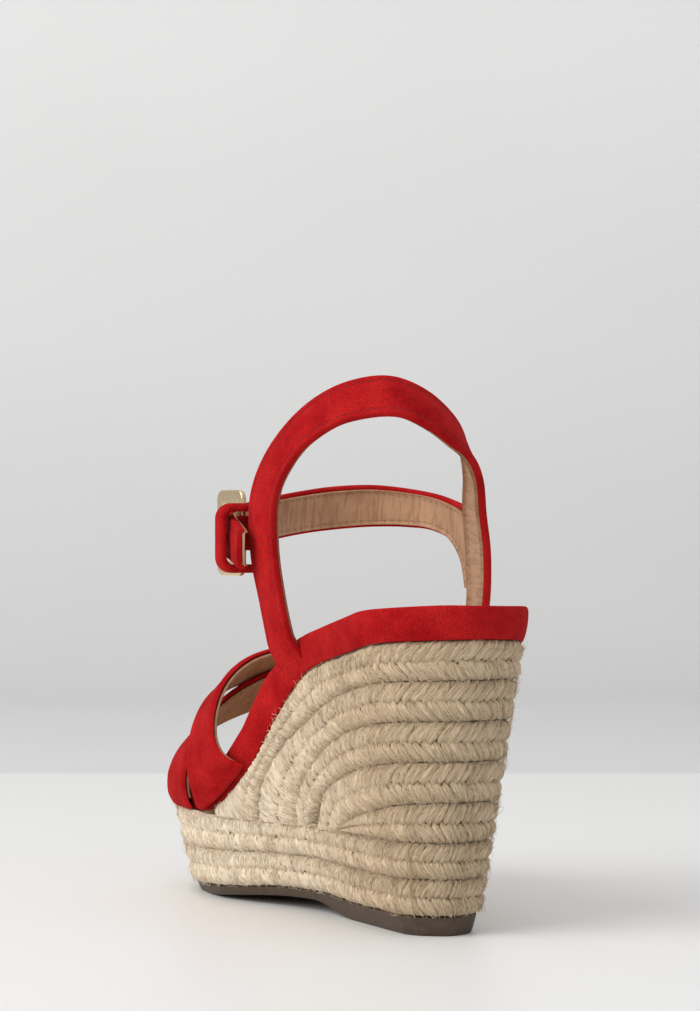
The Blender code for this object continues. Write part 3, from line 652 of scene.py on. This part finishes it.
def backing(low, high, spots):
    """The face behind the strands: its points, faces, grain and shade."""
    cross = np.array([-0.97, -0.8, -0.5, -0.2, 0.0, 0.2, 0.5, 0.8, 0.97])
    grid_s, grid_c = np.meshgrid(spots, cross, indexing="ij")
    face = on_side(low, high, grid_s, grid_c, bulge(grid_c) - 0.75)
    deep = on_side(low, high, grid_s[:, ::8], grid_c[:, ::8][:, ::-1], np.full((len(spots), 2), -3.2))
    rings = np.concatenate([face, deep], axis=1)
    rows, size = rings.shape[:2]
    grain = np.stack([grid_c * HALF_BRAID, grid_s, grid_s * 0], axis=-1)
    grain = np.concatenate([grain, grain[:, :2]], axis=1)
    # Painted shade over the face behind the strands, darkest along the middle groove
    shade = 0.22 + 0.6 * np.exp(-(grid_c / GROOVE) ** 2)
    shade = np.concatenate([shade, grid_s[:, :2] * 0], axis=1)
    return (rings.reshape(-1, 3), ring_faces(rows, size, False) + end_faces(rows, size),
            grain.reshape(-1, 3), shade.ravel())


def braid(name, low, high, pitch, seed):
    """Two rows of separate strands that meet in the middle of a band, over a face behind them."""
    random = np.random.default_rng(seed)
    middle = (low + high) / 2
    run = run_along(middle)
    half = np.linalg.norm(high - low, axis=1) / 2
    middle_y = np.interp(wrapped(middle[:, 0]), run_ring, y_ring)
    closed = high[:, 1].max() < LOOP_TOP
    begin = OVERLAP if closed else 0.0
    steps = max(int(run[-1] / 1.6), 8)
    part = backing(low, high, np.linspace(begin, run[-1] - begin, steps))
    points, faces, grain, shade = [part[0]], part[1], [part[2]], [part[3]]
    total = len(part[0])
    # u runs from a strand's inner end, in the groove, to its outer end, and v across it
    u, v = np.meshgrid(np.linspace(0, 1, STRAND_GRID[0]), np.linspace(-1, 1, STRAND_GRID[1]),
                       indexing="ij")
    pattern = np.array(ring_faces(*STRAND_GRID, False, False))
    taper = 0.72 + 0.42 * np.sin(math.pi * np.clip(u * 1.05, 0, 1)) ** 0.8
    crown = np.clip(1 - v * v, 0, 1) ** 0.62
    inner_end = np.clip(1 - u / 0.24, 0, 1) ** 1.5
    outer_end = np.clip((u - 0.85) / 0.15, 0, 1)
    sides = np.clip(np.abs(v) * 1.3, 0.3, 1) ** 2
    count = int((run[-1] - 2 * begin) / pitch)
    if closed:
        pitch = (run[-1] - 2 * begin) / count
    number = 0
    for row in (1, -1):
        shift = 0.0 if row > 0 else 0.5
        for i in range(count if closed else count + 5):
            start = begin + (i + shift) * pitch + random.normal(0, 0.16) * pitch / 3
            if start > run[-1] + 14:
                continue
            here = float(np.interp(start, run, half))
            if here < 0.6:
                continue
            y = float(np.interp(start, run, middle_y))
            sweep = float(sweep_at(y)) * here / HALF_BRAID * random.normal(1, 0.07)
            wide = pitch * 0.66 * random.normal(1, 0.07)
            spot = start - sweep * u ** 1.1 + v * wide * taper
            spot += 0.25 * np.sin(u * 3 + random.uniform(0, 6)) * random.uniform(-1, 1)
            across = row * (-0.15 + random.normal(0, 0.035) + 1.12 * u)
            across -= row * v * 0.05 * pitch / 3
            ridges = 0.14 * np.sin(v * 9.5 + u * 4 * row + random.uniform(0, 6)) * crown
            dive = random.uniform(0.6, 1.3) * inner_end + 0.7 * outer_end
            out = bulge(across) - 0.55 + 1.05 * crown + ridges - dive + 0.16 * v
            out += random.normal(0, 0.07)
            place = on_side(low, high, np.clip(spot, 0.0, run[-1]), np.clip(across, -1.02, 1.02), out)
            points.append(place.reshape(-1, 3))
            faces += (pattern + total).tolist()
            total += u.size
            number += 1
            mark = np.stack([u * 2 * here + number * 3.1, v * wide + 0.25 * u * row,
                             np.full_like(u, number * 1.37)], axis=-1)
            grain.append(mark.reshape(-1, 3))
            # Painted shade where the strands meet in the groove, along a strand's sides and at its
            # outer end
            dark = np.exp(-(u / 0.17) ** 2) * random.uniform(0.9, 2.3) * sides
            dark += 0.35 * np.abs(v) ** 6 + 0.15 * np.clip((u - 0.86) / 0.14, 0, 1)
            shade.append(dark.ravel())
    made = build(name, np.concatenate(points), faces, jute, "sandal", "jute",
                 np.concatenate(grain), np.concatenate(shade))
    tidy_normals(made.data)
    return made, run


def middle_line(y):
    """The line between the two platform braids."""
    return (PLATFORM_TOP + sole_top(y)) / 2


bands = [(*heel_band(index), 3.5) for index in range(1, HEEL_BRAIDS + 1)]
bands.append((*loop_band(middle_line, lambda y: np.full_like(y, PLATFORM_TOP)), 3.1))
bands.append((*loop_band(sole_top, middle_line), 3.1))
braids = []
for number, (low, high, pitch) in enumerate(bands):
    made, run = braid(f"jute_braid_{number + 1}_strands", low, high, pitch, 20 + number)
    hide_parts(f"jute_braid_{number + 1}")
    braids.append((low, high, run))


def fuzz(name, count, seed):
    """Loose fibre ends that stand off the jute."""
    random = np.random.default_rng(seed)
    points, faces, grain = [], [], []
    total = 0
    # A fibre is a thin three-sided tapered tube of four rings
    quads = np.array(ring_faces(4, 3, False))[None]
    lengths = np.array([run[-1] for _, _, run in braids])
    for low, high, run in braids:
        amount = int(count * run[-1] / lengths.sum())
        start = random.uniform(0, run[-1], amount)
        across = random.uniform(-0.92, 0.92, amount)
        along = np.interp(start, run, (low + high)[:, 0] / 2)
        place_y = np.interp(wrapped(along), run_ring, y_ring)
        turn = np.arctan2(np.sign(across) * 6.5, -sweep_at(place_y))
        turn += random.normal(0, 0.5, amount)
        if low is braids[0][0]:       # the top braid's fibres stay clear of the rim
            across = np.where(place_y > 98, -np.abs(across), np.minimum(across, 0.45))
        reach = random.gamma(3.0, 0.55, amount) + 0.6
        rise = random.uniform(0.02, 0.42, amount) + 0.5 * (random.uniform(0, 1, amount) > 0.85)
        curl = random.uniform(-0.9, 0.9, amount)
        rings = []
        for t in (0.0, 0.35, 0.7, 1.0):
            heading = turn + curl * t
            spot = np.clip(start + reach * t * np.cos(heading), 0, run[-1])
            side = np.clip(across + reach * t * np.sin(heading) / HALF_BRAID, -1.05, 1.05)
            lift = bulge(across) + 0.35 + rise * reach * t * (1.15 - 0.6 * t)
            centre = on_side(low, high, spot, side, lift)
            thick = 0.10 * (1 - 0.7 * t)
            for way in range(3):
                angle = way * 2 * math.pi / 3
                rings.append(centre + np.array([math.cos(angle), 0.3, math.sin(angle)]) * thick)
        block = np.stack(rings, axis=1)
        points.append(block.reshape(-1, 3))
        base = np.arange(amount)[:, None, None] * 12 + total
        faces += (base + quads).reshape(-1, 4).tolist()
        mark = np.zeros((amount, 12, 3))
        mark[..., 2] = np.arange(amount)[:, None] * 0.9
        grain.append(mark.reshape(-1, 3))
        total += amount * 12
    build(name, np.concatenate(points), faces, jute, "sandal", "jute", np.concatenate(grain))


fuzz("jute_loose_fibres", 17000, 91)


# ---- Outsole and footbed ----
def moulded_outsole():
    """A closed body of rings, from the middle of the underside up to that of the upper face."""
    half = np.linspace(0, math.pi, 301)
    angles = np.concatenate([half, -half[-2:0:-1]])
    rings = []
    for share, depth in ((0.0, 3.4), (0.0, 2.4), (0.10, 2.0), (0.25, 1.85), (0.8, 1.45), (0.95, 1.5),
                         (1.0, 1.9), (1.0, 4.0)):
        rings.append(sole_ring(
            angles, lambda y: sole_bottom(y) * (1 - share) + (sole_top(y) - 0.3) * share, depth))
    rings = np.stack(rings)
    count, size = rings.shape[:2]
    faces = ring_faces(count, size, False)
    for start in (0, (count - 1) * size):
        for i in range(size // 2):
            strip = [i, i + 1, (size - i - 1) % size, (size - i) % size]
            faces.append([start + corner for corner in dict.fromkeys(strip)])
    made = build("outsole_moulded", rings.reshape(-1, 3), faces, rubber, "sandal", "rubber")
    tidy_normals(made.data)
    made.data.set_sharp_from_angle(angle=math.radians(42))
    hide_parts("outsole")


def footbed_cover():
    """The cover of the footbed, puffed over its foam and dished under the heel and the ball."""
    half = np.linspace(0.05, math.pi - 0.05, 150)
    spread = (1 - np.cos(np.linspace(0, math.pi, 25))) / 2
    left, right = footbed_ring(half, 9.4, 1.6), footbed_ring(-half, 9.4, 1.6)
    low_left, low_right = footbed_ring(half, 3.2, 1.6), footbed_ring(-half, 3.2, 1.6)
    top = left[:, None] * (1 - spread[None, :, None]) + right[:, None] * spread[None, :, None]
    y = top[..., 1]
    middle = 4 * spread * (1 - spread)
    wide = np.linalg.norm(right - left, axis=1)[:, None]
    rim = np.minimum(np.minimum(spread, 1 - spread)[None] * wide / 3.0, 1.0)
    puff = -1.1 * (1 - rim) ** 2
    dish = -1.7 * np.exp(-((y - 28) / 24) ** 2) * middle ** 1.5
    dish -= 1.1 * np.exp(-((y - 138) / 26) ** 2) * middle ** 1.5
    dish += 0.9 * np.exp(-((y - 82) / 16) ** 2) * middle
    top[..., 2] = above_wedge(y, 9.3) + puff + dish + 0.08 * lumps(y * 0.6 + top[..., 0] * 0.4, 5)
    rings = np.concatenate([top, low_right[:, None], low_left[:, None]], axis=1)
    grain = np.stack([rings[..., 1], rings[..., 0], rings[..., 0] * 0], axis=-1)
    made = loft("footbed_cushion", rings, lining_leather, "sandal", "lining_leather", False, grain)
    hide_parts("sock_lining", "foam_pad")


def rim():
    """The suede rim: a soft folded band with slight waves, tucked into the jute below."""
    angles = np.linspace(-math.pi, math.pi, 520, endpoint=False)
    run = np.interp(angles, around, run_ring)
    section = [(1.9, 0.4), (0.55, 0.15), (0.25, 0.55), (-0.05, 1.6), (-0.25, 3.2), (-0.32, 5.0),
               (-0.25, 6.8), (-0.1, 8.4), (0.12, 9.6), (0.38, 10.25), (0.75, 10.6), (1.15, 10.65),
               (1.6, 10.3), (1.85, 9.7), (1.95, 8.9)]
    wave = 0.16 * lumps(run * 0.16, 11) + 0.05 * lumps(run * 0.7, 12)
    columns = []
    for depth, height in section:
        body = math.sin(min(height, 10.0) / 10.0 * math.pi)
        columns.append(footbed_ring(angles, height + 0.18 * lumps(run * 0.12, 13) * (height > 9),
                                    depth - wave * body))
    made = loft("footbed_rim", np.stack(columns, axis=1), red_suede, "sandal", "suede", True)
    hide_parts("footbed_rand")


moulded_outsole()
footbed_cover()
rim()


# ---- Straps ----
STITCH_PITCH = 2.6
STITCH_LENGTH = 1.7
STITCH_RADIUS = 0.23
STITCH_INSET = 2.05               # from the strap's edge, in the middle of its groove
STITCH_SKIP = 14.0                # no stitches this near a foot that sinks into the rim
TUCK_LENGTH = 13.0                # a foot sinks by TUCK_DEPTH over its last stretch
TUCK_DEPTH = 5.0


def frames(edges, centre):
    """Across and outward directions of a strap at each station, its width and its run."""
    middle = edges.mean(axis=1)
    across = edges[:, 1] - edges[:, 0]
    width = np.linalg.norm(across, axis=1)
    across = unit(across)
    along = unit(np.gradient(middle, axis=0))
    out = unit(np.cross(along, across))
    if np.sum(out * (middle - centre)) < 0:
        out = -out
    run = run_along(middle)
    return across, out, width, run


def strap_face(width, groove):
    """Places across a strap and how high its face stands there, rounded over at both edges."""
    inner = [(0.0, -0.95), (0.06, -0.5), (0.22, -0.2), (0.5, -0.04), (0.95, 0.06), (1.4, 0.02)]
    if groove:
        inner += [(1.75, -0.10), (2.05, -0.24), (2.35, -0.10), (2.75, 0.06)]
    else:
        inner += [(2.0, 0.04), (2.75, 0.06)]
    places = [(np.full_like(width, p), h) for p, h in inner]
    for share in (0.32, 0.5, 0.68):
        places.append((2.75 + (width - 5.5) * share, 0.14))
    places += [(width - p, h) for p, h in inner[::-1]]
    return places


def strap(name, edges, centre, low, high, finish, slot, node, margin, groove, waves, seed, sink):
    """A strap of suede or lining with soft edges, between two distances out from its edges."""
    across, out, width, run = frames(edges, centre)
    far = run[-1]                 # an end that doesn't sink counts as far away
    ends = np.minimum(run + (0 if sink[0] else far), far - run + (0 if sink[1] else far))
    tuck = -TUCK_DEPTH * np.clip(1 - ends / TUCK_LENGTH, 0, 1) ** 1.5
    start = edges[:, 0] + out * tuck[:, None] + across * (width * margin)[:, None]
    width = width * (1 - 2 * margin)
    wave = waves * lumps(run * 0.35, seed)
    # The back, rolled over at both edges of the suede
    roll = [(0.0, -0.5), (0.3, -1.0), (0.9, -1.1), (1.35, -0.75), (1.6, 0.0)] if groove else \
        [(0.0, 0.25), (0.8, 0.0)]
    back = [(np.full_like(width, place), fall) for place, fall in roll]
    back += [(width * share, 0.0) for share in (0.3, 0.5, 0.7)]
    back += [(width - place, fall) for place, fall in roll[::-1]]
    rings, grain = [], []
    for level, lines in ((high, strap_face(width, groove)), (low, back[::-1])):
        for place, height in lines:
            swell = wave * np.sin(np.clip(place / width, 0, 1) * math.pi)
            rings.append(start + across * place[:, None] + out * (level + height + swell)[:, None])
            grain.append(np.stack([run, place, np.zeros_like(run)], axis=1))
    made = loft(name, np.stack(rings, axis=1), finish, "sandal", slot, False,
                np.stack(grain, axis=1))
    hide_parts(node)
    return made


def stitch_row(name, path, up, finish, slot, skip):
    """Separate thread stitches laid along a path, each dipping into the material at its ends."""
    run = run_along(path)
    starts = np.arange(1.5 + skip[0], run[-1] - STITCH_LENGTH - 1.0 - skip[1], STITCH_PITCH)
    t = np.linspace(0, 1, 6)
    block = np.array(ring_faces(6, 6, True, False))
    points, faces = [], []
    for number, start in enumerate(starts):
        spots = start + t * STITCH_LENGTH
        centre = points_at(spots, run, path)
        lift = unit(points_at(spots, run, up))
        along = unit(np.gradient(centre, axis=0))
        aside = np.cross(along, lift)
        centre = centre + lift * (0.16 * np.sin(t * math.pi) - 0.14)[:, None]
        centre = centre + aside * ((t - 0.5) * 0.22)[:, None]
        thick = STITCH_RADIUS * (0.55 + 0.45 * np.sin(t * math.pi) ** 0.5)
        for k in range(6):
            angle = k * math.pi / 3
            points.append(centre + (lift * math.cos(angle) + aside * math.sin(angle))
                          * thick[:, None])
        faces += (block + number * 36).tolist()
    made = build(name, np.concatenate(points), faces, finish, "sandal", slot)
    tidy_normals(made.data)


def ankle_strap(name, stations, count, centre, seed, sink):
    """A stitched suede strap and its lining. sink says which ends sink into the rim."""
    edges = smooth_stations(stations, count)
    face = strap(f"{name}_suede", edges, centre, 0.15, 1.62, red_suede, "suede", name,
                 0.0, True, 0.12, seed, sink)
    lining = strap(f"{name}_lining_leather", edges, centre, -0.15, -1.02, lining_leather,
                   "lining_leather", f"{name}_lining", 0.085, False, 0.1, seed, sink)
    across, out, width, _ = frames(edges, centre)
    skip = [STITCH_SKIP if end else 0.0 for end in sink]
    for number, place in enumerate((np.full_like(width, STITCH_INSET), width - STITCH_INSET), 1):
        outer = edges[:, 0] + across * place[:, None] + out * 1.46
        stitch_row(f"{name}_stitches_{number}", outer, out, red_thread, "suede", skip)
        place = place + np.sign(width / 2 - place) * 0.5
        inner = edges[:, 0] + across * place[:, None] - out * 1.02
        stitch_row(f"{name}_lining_stitches_{number}", inner, -out, beige_thread,
                   "lining_leather", skip)
    return face, lining


ankle_strap("ankle_collar", COLLAR, 260, np.array([-2.0, 82.0, 120.0]), 31, (True, True))
front_pieces = ankle_strap("front_strap", FRONT_STRAP, 230, np.array([-2.0, 92.0, 128.0]), 32,
                           (False, False))


def arch_point(y, share):
    """A point on the arch over the foot at y, at a share of the way from outer to inner foot."""
    angle = float(angle_at(y))
    left = -(float(outer_half(angle)) + float(arch_clearance(y)))
    right = float(inner_half(angle)) + float(arch_clearance(y))
    foot = float(wedge_top(y)) + STRAP_FOOT
    top = ARCH_TOP - ARCH_FALL * (y - ARCH_HEEL_Y)
    turn = np.linspace(-math.pi / 2, math.pi / 2, 121)
    power = 2 / ARCH_POWER
    x = (left + right) / 2 + (right - left) / 2 * np.sign(turn) * np.abs(np.sin(turn)) ** power
    z = foot + (top - foot) * np.abs(np.cos(turn)) ** power
    x -= np.sign(turn) * 1.4 * np.clip(1 - (z - foot) / 10.0, 0, 1)
    run = np.concatenate([[0], np.cumsum(np.hypot(np.diff(x), np.diff(z)))])
    spot = share * run[-1]
    return np.array([np.interp(spot, run, x), y, np.interp(spot, run, z)])


def toe_strap(name, rear, front, raised, node, lining_node, seed):
    """A broad toe strap that follows the arch of the foot, puffed at its edges."""
    rear, front = profile(rear), profile(front)
    steps = 110
    shares = np.linspace(0, 1, steps)
    lift = np.clip(np.minimum(shares, 1 - shares) / 0.13, 0, 1)
    lift = OVER_LIFT * lift * lift * (3 - 2 * lift) if raised else np.zeros(steps)
    spread = (1 - np.cos(np.linspace(0, math.pi, 17))) / 2
    rows = []
    for share in shares:
        low, high = float(rear(share)), float(front(share))
        rows.append([arch_point(low + (high - low) * part, share) for part in spread])
    grid = np.array(rows)
    along, across = np.gradient(grid, axis=0), np.gradient(grid, axis=1)
    normal = unit(np.cross(along, across))
    centre = np.array([0.0, 140.0, 20.0])
    if np.sum(normal * (grid - centre)) < 0:
        normal = -normal
    width = np.linalg.norm(np.diff(grid, axis=1), axis=2).sum(axis=1)[:, None]
    reach = np.minimum(spread, 1 - spread)[None] * width
    run = run_along(grid[:, 8])
    round_off = -1.15 * np.clip(1 - reach / 1.5, 0, 1) ** 2.2
    puff = 0.28 * np.exp(-((reach - 1.8) / 1.2) ** 2)
    wave = 0.22 * lumps(run * 0.22, seed)[:, None] * np.sin(spread * math.pi)[None]
    foot = np.minimum(shares, 1 - shares)[:, None]
    pinch = -1.7 * np.clip(1 - foot / 0.045, 0, 1) ** 1.6
    base = 1.5 + lift[:, None] + pinch
    marks = np.stack([np.repeat(run[:, None], 17, 1), reach, reach * 0], axis=-1)
    marks = np.concatenate([marks, marks[:, ::-1]], axis=1)

    def layer(layer_name, top, low, trim, finish, slot, stands_for):
        rings = np.concatenate([top, low[:, ::-1]], axis=1)[trim]
        made = loft(layer_name, rings, finish, "sandal", slot, False, marks[trim])
        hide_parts(stands_for)

    layer(f"{name}_suede", grid + normal * (base + 1.55 + round_off + puff + wave)[..., None],
          grid + normal * (base + 0.02 + 0.3 * np.clip(1 - reach / 0.8, 0, 1))[..., None],
          slice(None), red_suede, "suede", node)
    inset = grid[:, 8:9] + (grid - grid[:, 8:9]) * 0.94
    layer(f"{name}_lining_leather", inset + normal * (base - 0.3)[..., None],
          inset + normal * (base - 1.15)[..., None],
          slice(3, -3), lining_leather, "lining_leather", lining_node)


toe_strap("toe_strap_under", UNDER_REAR, UNDER_FRONT, False, "vamp_strap_under",
          "vamp_under_lining", 41)
toe_strap("toe_strap_over", OVER_REAR, OVER_FRONT, True, "vamp_strap_over", "vamp_over_lining", 42)


# ---- Buckle and keeper ----
def rounded_rectangle(low, high, corner, steps):
    """A closed outline between two opposite corners, with steps in each rounded corner."""
    centres = [(high[0] - corner, high[1] - corner, 0), (low[0] + corner, high[1] - corner, 90),
               (low[0] + corner, low[1] + corner, 180), (high[0] - corner, low[1] + corner, 270)]
    turns = [(x, y, math.radians(start + 90 * step / steps))
             for x, y, start in centres for step in range(steps + 1)]
    return [(x + corner * math.cos(turn), y + corner * math.sin(turn)) for x, y, turn in turns]


def from_bar(x, y):
    """Shoe X and Y of a place in the buckle's plane: x forward of the bar, y out from it."""
    c, s = math.cos(BUCKLE_HEADING), math.sin(BUCKLE_HEADING)
    return BAR_POSITION[0] + x * c - y * s, BAR_POSITION[1] + x * s + y * c


def flat_piece(name, outlines, half_thickness, rounding, finish, place, turn, body, slot, node):
    """Closed outlines extruded both ways, with finely rounded edges, as a mesh."""
    data = bpy.data.curves.new(name, "CURVE")
    data.dimensions = "2D"
    data.fill_mode = "BOTH"
    data.extrude = (half_thickness - rounding) * 0.001
    data.bevel_depth = rounding * 0.001
    data.bevel_resolution = 5
    data.offset = -rounding * 0.001
    for points in outlines:
        spline = data.splines.new("POLY")
        spline.points.add(len(points) - 1)
        spline.use_cyclic_u = True
        for point, (x, y) in zip(spline.points, points):
            point.co = (x * 0.001, y * 0.001, 0.0, 1.0)
    shape = added(name + "_line", data)
    shape.location = (np.array(place) - CENTRE) * 0.001
    shape.rotation_euler = turn
    bpy.context.view_layer.update()
    solid = evaluated(shape)
    solid.transform(shape.matrix_world)
    bpy.data.objects.remove(shape)
    tidy_normals(solid, weld=1e-6)
    solid.materials.clear()
    solid.materials.append(finish)
    solid.shade_smooth()
    solid.set_sharp_from_angle(angle=math.radians(50))
    ridden(added(name, solid), body, slot, node)


def punch(pieces):
    """The plain holes and the prong's slot, cut through the front strap."""
    steps = 200
    middle = smooth_stations(FRONT_STRAP, steps + 1).mean(axis=1)
    heading = np.gradient(middle, axis=0)
    near = np.linalg.norm(middle[:, :2] - from_bar(*PRONG_SLOT_PLACE), axis=1)
    circle = rounded_rectangle((-HOLE_RADIUS,) * 2, (HOLE_RADIUS,) * 2, HOLE_RADIUS - 0.01, 8)
    length, height = PRONG_SLOT
    slot = rounded_rectangle((-length, -height), (length, height), height - 0.01, 6)
    cuts = [(round(share * steps), circle, None) for share in HOLE_SHARES]
    cuts.append((int(near.argmin()), slot, BAR_POSITION[2]))
    for spot, line, level in cuts:
        x, y, z = middle[spot]
        z = z if level is None else level
        turn = math.atan2(heading[spot][1], heading[spot][0])
        c, s = math.cos(turn), math.sin(turn)
        points = [(x + along * c - depth * s, y + along * s + depth * c, z + up)
                  for depth in (-4.0, 4.0) for along, up in line]
        size = len(line)
        data = bpy.data.meshes.new("punch")
        data.from_pydata(((np.array(points) - CENTRE) * 0.001).tolist(), [],
                         ring_faces(2, size, False) + end_faces(2, size))
        tidy_normals(data)
        tool = added("punch", data)
        for piece in pieces:
            knife = piece.modifiers.new("hole", "BOOLEAN")
            knife.object = tool
            knife.operation = "DIFFERENCE"
            knife.solver = "EXACT"
            bpy.context.view_layer.update()
            cut = evaluated(piece)
            piece.modifiers.clear()
            piece.data = cut
            cut.set_sharp_from_angle(angle=math.radians(55))
        bpy.data.objects.remove(tool)


def buckle_frame():
    flat_piece("buckle_frame_gold", [rounded_rectangle(FRAME_LOW, FRAME_HIGH, FRAME_CORNER, 10),
                                     rounded_rectangle(WINDOW_LOW, WINDOW_HIGH, WINDOW_CORNER, 6)],
               FRAME_HALF, 0.38, gold, BAR_POSITION, (math.pi / 2, 0.0, BUCKLE_HEADING),
               "frame", "gold", "buckle_frame")


def prong():
    """A round wire: an open eye on the bar, then a run that lands on the frame's front bar."""
    points = [(PRONG_EYE * math.cos(math.radians(a)), PRONG_EYE * math.sin(math.radians(a)))
              for a in range(390, 89, -10)]
    rest = FRAME_HALF + PRONG_RADIUS + 0.12
    points += [(2.5, 2.05), (7.0, 2.15), (11.5, rest + 0.1), (14.6, rest)]
    line = smoothed(even(np.array(points), 90)[0], 3)
    along = unit(np.gradient(line, axis=0))
    side = np.stack([-along[:, 1], along[:, 0]], axis=1)
    share = np.linspace(0, 1, 90)
    radius = PRONG_RADIUS * (1 - 0.35 * np.clip((share - 0.9) / 0.1, 0, 1) ** 2)
    rings = []
    for angle in np.arange(16) * math.pi / 8:
        flat = line + side * (radius * math.cos(angle))[:, None]
        rings.append(np.stack([*from_bar(flat[:, 0], flat[:, 1]),
                               BAR_POSITION[2] + radius * math.sin(angle)], axis=1))
    made = loft("buckle_prong_gold", np.stack(rings, axis=1), gold, "prong", "gold", False)
    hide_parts("buckle_prong")


def keeper():
    x, y = KEEPER_HALF[0] + KEEPER_PUFF, KEEPER_HALF[1] + KEEPER_PUFF
    outer = rounded_rectangle((-x, -y), (x, y), KEEPER_CORNER + KEEPER_PUFF, 12)
    x, y = KEEPER_HALF[0] - KEEPER_WALL, KEEPER_HALF[1] - KEEPER_WALL
    hole = rounded_rectangle((-x, -y), (x, y), KEEPER_CORNER - KEEPER_WALL, 8)
    flat_piece("keeper_suede", [outer, hole], KEEPER_WIDTH / 2, KEEPER_ROUNDING, red_suede,
               KEEPER_CENTRE, (math.pi / 2, 0.0, 0.0), "keeper", "suede", "keeper_loop")


def soften_tab():
    """The folded tab is the CAD's own mesh, with softly broken edges."""
    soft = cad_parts["buckle_tab"].modifiers.new("soft_edge", "BEVEL")
    soft.width = 0.00022
    soft.segments = 3
    soft.limit_method = "ANGLE"


punch(front_pieces)
buckle_frame()
prong()
keeper()
soften_tab()


# ---- Room, light and camera, in metres ----
VIEW_TURN = math.radians(20.8)    # the camera looks along +Y turned by this towards +X
FLOOR_FRONT, FLOOR_BACK, FLOOR_HALF_WIDTH = -1.9, 1.6, 3.2
WALL_TOP, WALL_CURVE = 2.4, 0.4
FLOOR_LINE = (0.541, 0.549)       # behind this line the floor is painted a little greyer


def studio_paint():
    paint = Finish("studio_paint", 0.42)
    # The grey behind the floor line is painted darker towards the wall's foot: painted shade where
    # the wall meets the floor
    grey = paint.ramp(paint.share("Z", 0.0, 0.5), [(0.0, 0.75), (1.0, 0.91)])
    colour = paint.mix("MIX", paint.share("Y", *FLOOR_LINE), (0.86, 0.86, 0.85), grey)
    mottle = paint.noise(paint.place(), 0.004, 2.0, 0.5)
    colour = paint.tint(colour, 1.0, mottle, [(0.3, 0.98), (0.7, 1.0)])
    paint.even({"Specular IOR Level": 0.2})
    return paint.done(colour)


def room():
    """A pale floor with a slightly greyer stretch behind, which turns up into a wall far back."""
    start = FLOOR_BACK - WALL_CURVE
    run = [(FLOOR_FRONT, 0.0), (start, 0.0)]
    run += [(start + WALL_CURVE * math.sin(turn), WALL_CURVE * (1 - math.cos(turn)))
            for turn in np.linspace(0, math.pi / 2, 13)[1:]]
    run.append((FLOOR_BACK, WALL_TOP))
    points = [(x, y, z) for x in (-FLOOR_HALF_WIDTH, FLOOR_HALF_WIDTH) for y, z in run]
    size = len(run)
    data = bpy.data.meshes.new("studio_floor")
    data.from_pydata(points, [], [(i, i + 1, size + i + 1, size + i) for i in range(size - 1)])
    data.shade_smooth()
    data.materials.append(studio_paint())
    floor = added("studio_floor", data)
    floor.rotation_euler = (0.0, 0.0, -VIEW_TURN)


def area_light(name, place, target, size, power, colour=(1.0, 1.0, 1.0)):
    data = bpy.data.lights.new(name, "AREA")
    data.shape = "RECTANGLE"
    data.size, data.size_y = size
    data.energy = power
    data.color = colour
    made = added(name, data)
    made.location = place
    aim = added(name + "_aim", None)
    aim.location = target
    track = made.constraints.new("TRACK_TO")
    track.target = aim
    track.track_axis = "TRACK_NEGATIVE_Z"
    track.up_axis = "UP_Y"


def world_light(colour, strength):
    world = bpy.data.worlds.new("studio_world")
    world.use_nodes = True
    background = world.node_tree.nodes["Background"].inputs
    background["Color"].default_value = (*colour, 1.0)
    background["Strength"].default_value = strength
    bpy.context.scene.world = world


def photo_camera():
    data = bpy.data.cameras.new("photo_camera")
    data.sensor_fit = "VERTICAL"
    data.sensor_height = 36.0
    data.lens = 118.3
    data.clip_end = 50.0
    camera = added("photo_camera", data)
    camera.location = (np.array([-395.8, -938.0, 134.0]) - CENTRE) * 0.001
    camera.rotation_euler = (math.pi / 2, 0.0, -VIEW_TURN)
    bpy.context.scene.camera = camera


room()
area_light("window_left", (-1.6, -0.3, 1.1), (0.0, 0.0, 0.08), (1.7, 1.6), 28, (1.0, 0.985, 0.96))
area_light("front_fill", (0.5, -1.9, 0.9), (0.0, 0.0, 0.08), (1.6, 1.4), 4.0)
area_light("top_soft", (0.1, -0.2, 1.9), (0.0, 0.0, 0.0), (1.6, 1.6), 7)
world_light((0.96, 0.96, 0.97), 0.47)
bpy.context.scene.view_settings.view_transform = "Standard"
photo_camera()
